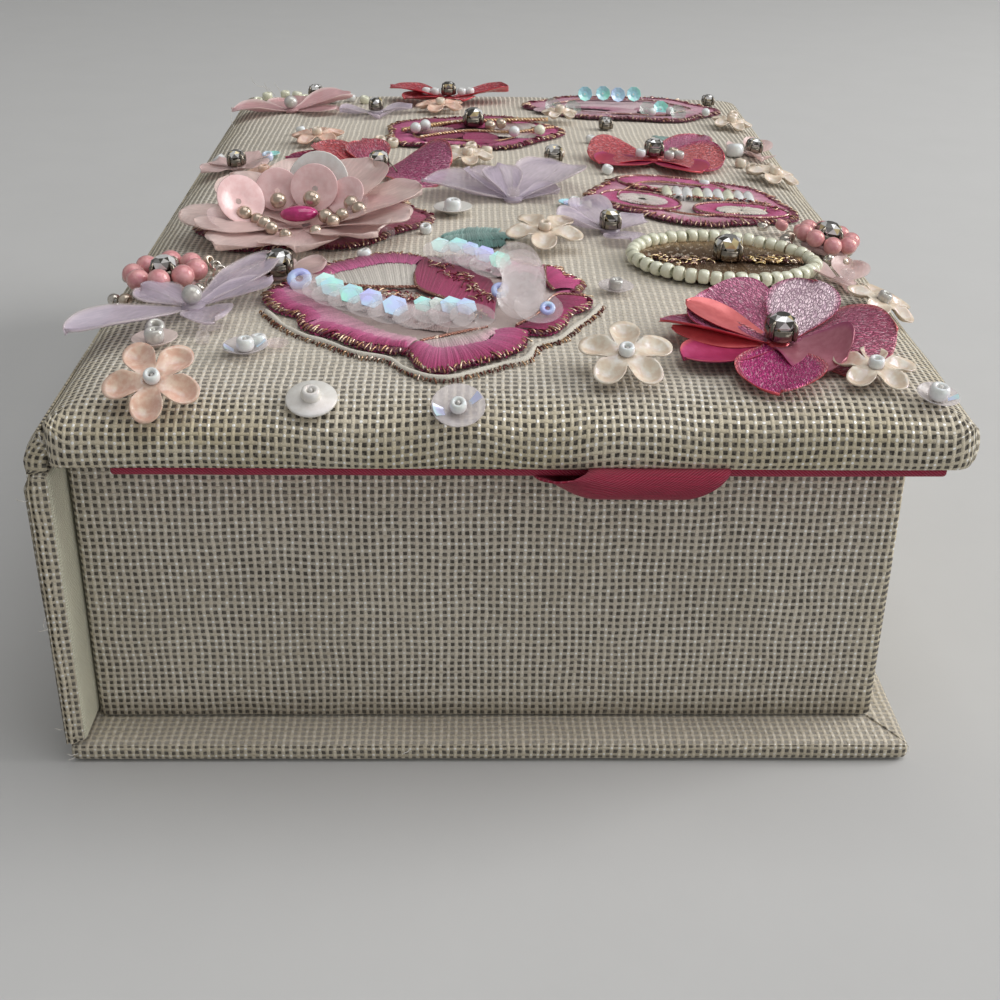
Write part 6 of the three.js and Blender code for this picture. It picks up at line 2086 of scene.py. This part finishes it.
# Single beads and small sequins scattered between the flowers
scattered = Piece("scattered_beads")
for x, y, material, size in [
    (-22.5, -44.5, WHITE_BEAD, 2.5), (21.5, 9.5, WHITE_BEAD, 2.3), (51.0, 31.5, WHITE_BEAD, 3.8),
    (-13, -31, WHITE_BEAD, 2.2), (-35.6, -79.6, WHITE_BEAD, 2.5), (-9.2, -20.2, WHITE_BEAD, 2.0),
    (15.8, -16.4, CREAM_BEAD, 2.0), (-19.5, -33.5, CLEAR, 2.4), (-51.5, -74.0, GREY_PEARL, 3.0),
    (-44, -77.5, CLEAR, 2.2), (40.0, 2.6, WHITE_BEAD, 2.2), (52.5, 18.5, IVORY, 2.6), (50.5, 22.5, IVORY, 2.4),
    (56.5, 22, IVORY, 2.4), (-55, 88, CREAM_BEAD, 2.6), (-51, 90.5, CREAM_BEAD, 2.4),
    (-48, 88.5, CREAM_BEAD, 2.6), (-57, 84, CREAM_BEAD, 2.4), (-45.5, 85.5, CREAM_BEAD, 2.2),
    (-38, 83, WHITE_BEAD, 2.6), (-34.5, 85, WHITE_BEAD, 2.4), (-31, 82, CREAM_BEAD, 2.4),
    (-41.5, 80, CREAM_BEAD, 2.2), (-56.5, 24.5, WHITE_BEAD, 2.8), (-47, 24, RAINBOW, 2.4),
    (-42.5, 47.5, WHITE_BEAD, 2.2), (56.5, 70, IVORY, 2.6), (58, 66, IVORY, 2.4), (57.5, 74, IVORY, 2.4),
    (18.5, 64, WHITE_BEAD, 2.2), (-24.5, 33, IVORY, 2.6), (-21.5, 31, IVORY, 2.4), (20.5, 36, WHITE_BEAD, 2.2),
    (-2.0, 22.5, IVORY, 2.4), (-8.5, 23.2, IVORY, 2.4), (-5.0, 25.5, IVORY, 2.6), (13.0, 22.0, IVORY, 2.0),
    (58.5, -20.5, PINK_PEARL, 2.4), (58.0, -24.0, SILVER_BEAD, 2.1), (49.5, -24.5, PINK_PEARL, 2.3),
    (46.0, -26.5, SILVER_BEAD, 2.0), (52.5, -27.5, PINK_PEARL, 2.6), (59.2, -28.0, SILVER_BEAD, 2.1)
]:
    origin, spin = on_lid(x, y, 0.15 + (OVER_STITCHES if 44 < x < 60 and -28 < y < -18 else 0))
    rng = random.Random(int(x * 31 + y * 17))
    seed_bead(
        scattered, origin, material, size,
        spin @ turn_about("Z", rng.uniform(0, 360)) @ turn_about("X", rng.uniform(0, 25))
    )
for x, y, size, material, tone in [
    (-33.0, -80.2, 3.6, CLEAR, ROSY), (12.2, -14.5, 3.2, RAINBOW, GREEN_GLINT),
    (-46.5, 26.5, 3.6, RAINBOW, GREEN_GLINT), (-50.5, 26.0, 3.4, CLEAR, WHITE),
    (-14.0, -57.0, 3.0, CLEAR, WHITE), (-43.5, -73.5, 3.4, CLEAR, WHITE)
]:
    origin, spin = on_lid(x, y, 0.3 if y > -60 or x < -20 else 1.2)
    cup_sequin(scattered, origin, spin, size, material, tone, flat=True)
for k, (x, y) in enumerate([(-54, 95), (-52, 96), (-59, 60), (-56, 97)]):
    loose_thread(scattered, on_lid(x, y, 0.2)[0], (-0.6, 0.2, 0.9), 4.5 + k, 90 + k, 0.07)
dress(scattered, "lid")

# Ribbon and hinge cloth, as sheets. The ribbon's path gives its slip sideways, its place along Y,
# its height and the share of its width that is left
RIBBON_ROWS, RIBBON_COLUMNS = 46, 15
front_edge = -HALF_LENGTH - LINING_PROUD
ribbon_top = LINING_Z + LINING_THICKNESS - RIBBON_THICKNESS / 2
ribbon_path = spline(
    [
        (0, front_edge + 8.0, ribbon_top, 1), (0, front_edge + 2.5, ribbon_top, 1),
        (0, front_edge - 0.35, ribbon_top - 0.02, 1), (-0.5, front_edge - 1.75, ribbon_top - 0.55, 1),
        (-2.2, front_edge - 2.35, ribbon_top - 1.85, 1), (-4.6, front_edge - 1.95, ribbon_top - 3.15, 0.98),
        (-7.0, front_edge - 0.6, ribbon_top - 3.95, 0.94), (-8.8, front_edge + 1.4, ribbon_top - 3.95, 0.86),
        (-10.2, front_edge + 3.6, ribbon_top - 3.2, 0.7), (-11.2, front_edge + 5.4, ribbon_top - 2.4, 0.45)
    ],
    RIBBON_ROWS
)
grid = np.zeros((RIBBON_ROWS, RIBBON_COLUMNS, 3))
for i, (slip, y, z, share) in enumerate(ribbon_path):
    for j in range(RIBBON_COLUMNS):
        s = 1 - 2 * j / (RIBBON_COLUMNS - 1)
        sag = 0.10 * math.sin(2.4 * s + i / 6) * smooth_share((i - 12) / 8)
        depth = 1 - 0.70 * smooth_share((-s - 0.2) / 0.8)
        grid[i, j] = (
            LID_CENTRE_X + RIBBON_OFFSET + slip + s * RIBBON_WIDTH / 2 * share, y - sag,
            ribbon_top + (z - ribbon_top) * depth + 0.3 * sag
        )
ribbon = Piece("ribbon_satin")
run = np.concatenate([[0], np.cumsum(np.linalg.norm(np.diff(grid[:, RIBBON_COLUMNS // 2], axis=0), axis=1))])
uv = np.stack([(grid[:, :, 0] / THREAD_PITCH).ravel(), np.repeat(run / THREAD_PITCH, RIBBON_COLUMNS)], axis=1)
sheet_of(ribbon, grid, SATIN_THICKNESS, SATIN, SATIN, uv=uv)
ribbon_object = dress(ribbon, "lid", ["ribbon_tab"])
cells = np.linalg.norm(np.cross(grid[1:, :-1] - grid[:-1, :-1], grid[:-1, 1:] - grid[:-1, :-1]), axis=2)

hinge_path = even(
    spline(
        [
            (-HALF_WIDTH - 0.35, 40.5), (-HALF_WIDTH - 0.45, 44.0), (-HALF_WIDTH - 0.6, 46.6),
            (-HALF_WIDTH - 0.95, 48.2), (-HALF_WIDTH - 0.75, 49.6), (-HALF_WIDTH + 0.3, 51.0),
            (-HALF_WIDTH + 1.35, 52.0), (-HALF_WIDTH + 1.75, 53.2)
        ],
        60
    ),
    0.45
)
HINGE_CLEAR = 4.0
HINGE_STATIONS = 80
hinge_length = CASE_LENGTH - HINGE_CLEAR
stations = np.linspace(-hinge_length / 2, hinge_length / 2, HINGE_STATIONS)
# Its ends are turned in: how far past the length each row lies, and how far inward it leans
turned_out, turned_in = np.array([0.55, 0.8, 0.75]), np.array([0.9, 1.9, 2.9])
stations = np.concatenate([-hinge_length / 2 - turned_out[::-1], stations, hinge_length / 2 + turned_out])
inward = np.concatenate([turned_in[::-1], np.zeros(HINGE_STATIONS), turned_in])
grid = np.zeros((len(stations), len(hinge_path), 3))
for i, y in enumerate(stations):
    for j, (x, z) in enumerate(hinge_path):
        near_end = smooth_share((abs(y) - hinge_length / 2 + 4.0) / 4.0)
        tuck = near_end * math.sin(math.pi * min(max((z - 41) / 12, 0), 1))
        fold = inward[i] * smooth_share((z - RIM_Z + 0.2) / 1.0)
        grid[i, j] = (
            x + 0.5 * tuck + fold + wobble(x, y, z, 9.0, 0.10), y,
            z + wobble(x, y, z + 40, 13.0, 0.12) - 0.5 * tuck
        )
run = np.concatenate([[0], np.cumsum(np.linalg.norm(np.diff(hinge_path, axis=0), axis=1))])
along = stations + np.where(stations < 0, -inward, inward)
uv = np.stack(
    [np.repeat(along / THREAD_PITCH, len(hinge_path)), np.tile(run / THREAD_PITCH, len(stations))], axis=1
)
hinge = Piece("hinge_cloth_strip")
tones = np.tile(
    [(0.06, 0.5 + 0.3 * noise.noise(Vector((j / 4, 0, 0))), 0.2) for j in range(len(hinge_path))],
    (len(stations), 1)
)
sheet_of(hinge, grid, CLOTH_THICKNESS, CLOTH, CLOTH, tone=tones, tone_under=tones, uv=uv)
hinge_object = hinge.build()
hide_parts("hinge_cloth")
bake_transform(hinge_object)

floor = Piece("floor")
FLOOR_REACH = 4000.0
FLOOR_DEPTH = 1500.0
SWEEP_RADIUS = 700.0
SWEEP_STEPS = 12
FLOOR_Z = -0.15
sweep = [(-FLOOR_REACH, 0.0), (FLOOR_DEPTH, 0.0)]
for k in range(1, SWEEP_STEPS + 1):
    a = math.pi / 2 * k / SWEEP_STEPS
    sweep.append((FLOOR_DEPTH + SWEEP_RADIUS * math.sin(a), SWEEP_RADIUS * (1 - math.cos(a))))
sweep.append((FLOOR_DEPTH + SWEEP_RADIUS, FLOOR_REACH))
rows = [[(x, y, z + FLOOR_Z) for x in np.linspace(-FLOOR_REACH, FLOOR_REACH, 3)] for y, z in sweep]
floor.add([p for row in rows for p in row], grid_faces(len(rows), 3), None)
backdrop = Graph("pale_board")
mottle = backdrop.noise(backdrop.place(), 40.0, 4.0, 0.6)
backdrop.bump(mottle, 0.0006, 0.25)
PALE = backdrop.surface(colour=backdrop.mix(mottle, (0.53, 0.53, 0.527), (0.56, 0.56, 0.557)), roughness=0.9)
floor.materials = [PALE]
ground = floor.build()


def area_light(name, place, target, size, power, colour):
    data = bpy.data.lights.new(name, "AREA")
    data.shape = "RECTANGLE"
    data.size, data.size_y = size
    data.energy = power
    data.color = colour
    o = bpy.data.objects.new(name, data)
    bpy.context.scene.collection.objects.link(o)
    o.location = place
    o.rotation_mode = "QUATERNION"
    o.rotation_quaternion = (Vector(target) - Vector(place)).to_track_quat("-Z", "Y")


# Each light: where it is, what it faces, its size in metres, watts and colour
area_light("window", (1.20, 0.15, 0.66), (0, 0.0, 0.04), (0.8, 0.8), 12.5, (1.0, 0.99, 0.97))
area_light("overhead", (0.25, -0.05, 1.10), (0, -0.05, 0.02), (0.9, 0.9), 4.7, (1.0, 1.0, 1.0))
area_light("front_fill", (0.95, -1.0, 0.34), (0, 0, 0.04), (0.8, 0.6), 1.9, (1.0, 1.0, 1.0))

WORLD_COLOUR, WORLD_STRENGTH = (0.82, 0.82, 0.81, 1), 0.40
world = bpy.data.worlds.new("studio")
world.use_nodes = True
world.node_tree.nodes["Background"].inputs[0].default_value = WORLD_COLOUR
world.node_tree.nodes["Background"].inputs[1].default_value = WORLD_STRENGTH
bpy.context.scene.world = world
bpy.context.scene.view_settings.view_transform = "Standard"

# Camera at the photograph's place
PITCH, YAW, ROLL = math.radians(27.411), math.radians(-1.532), math.radians(0.850)
EYE = Vector((-4.052, -272.338, 133.390)) * MM
FOCAL_LENGTH, SENSOR_WIDTH, NEAR_CLIP = 51.682, 36.0, 0.01
ahead = Vector((-math.sin(YAW) * math.cos(PITCH), math.cos(YAW) * math.cos(PITCH), -math.sin(PITCH)))
level = Vector((math.cos(YAW), math.sin(YAW), 0))
upright = level.cross(ahead)
right = math.cos(ROLL) * level + math.sin(ROLL) * upright
up = -math.sin(ROLL) * level + math.cos(ROLL) * upright
lens = bpy.data.cameras.new("camera")
lens.lens = FOCAL_LENGTH
lens.sensor_width = SENSOR_WIDTH
lens.clip_start = NEAR_CLIP
camera = bpy.data.objects.new("camera", lens)
bpy.context.scene.collection.objects.link(camera)
camera.matrix_world = Matrix.Translation(EYE) @ Matrix((right, up, -ahead)).transposed().to_4x4()
bpy.context.scene.camera = camera
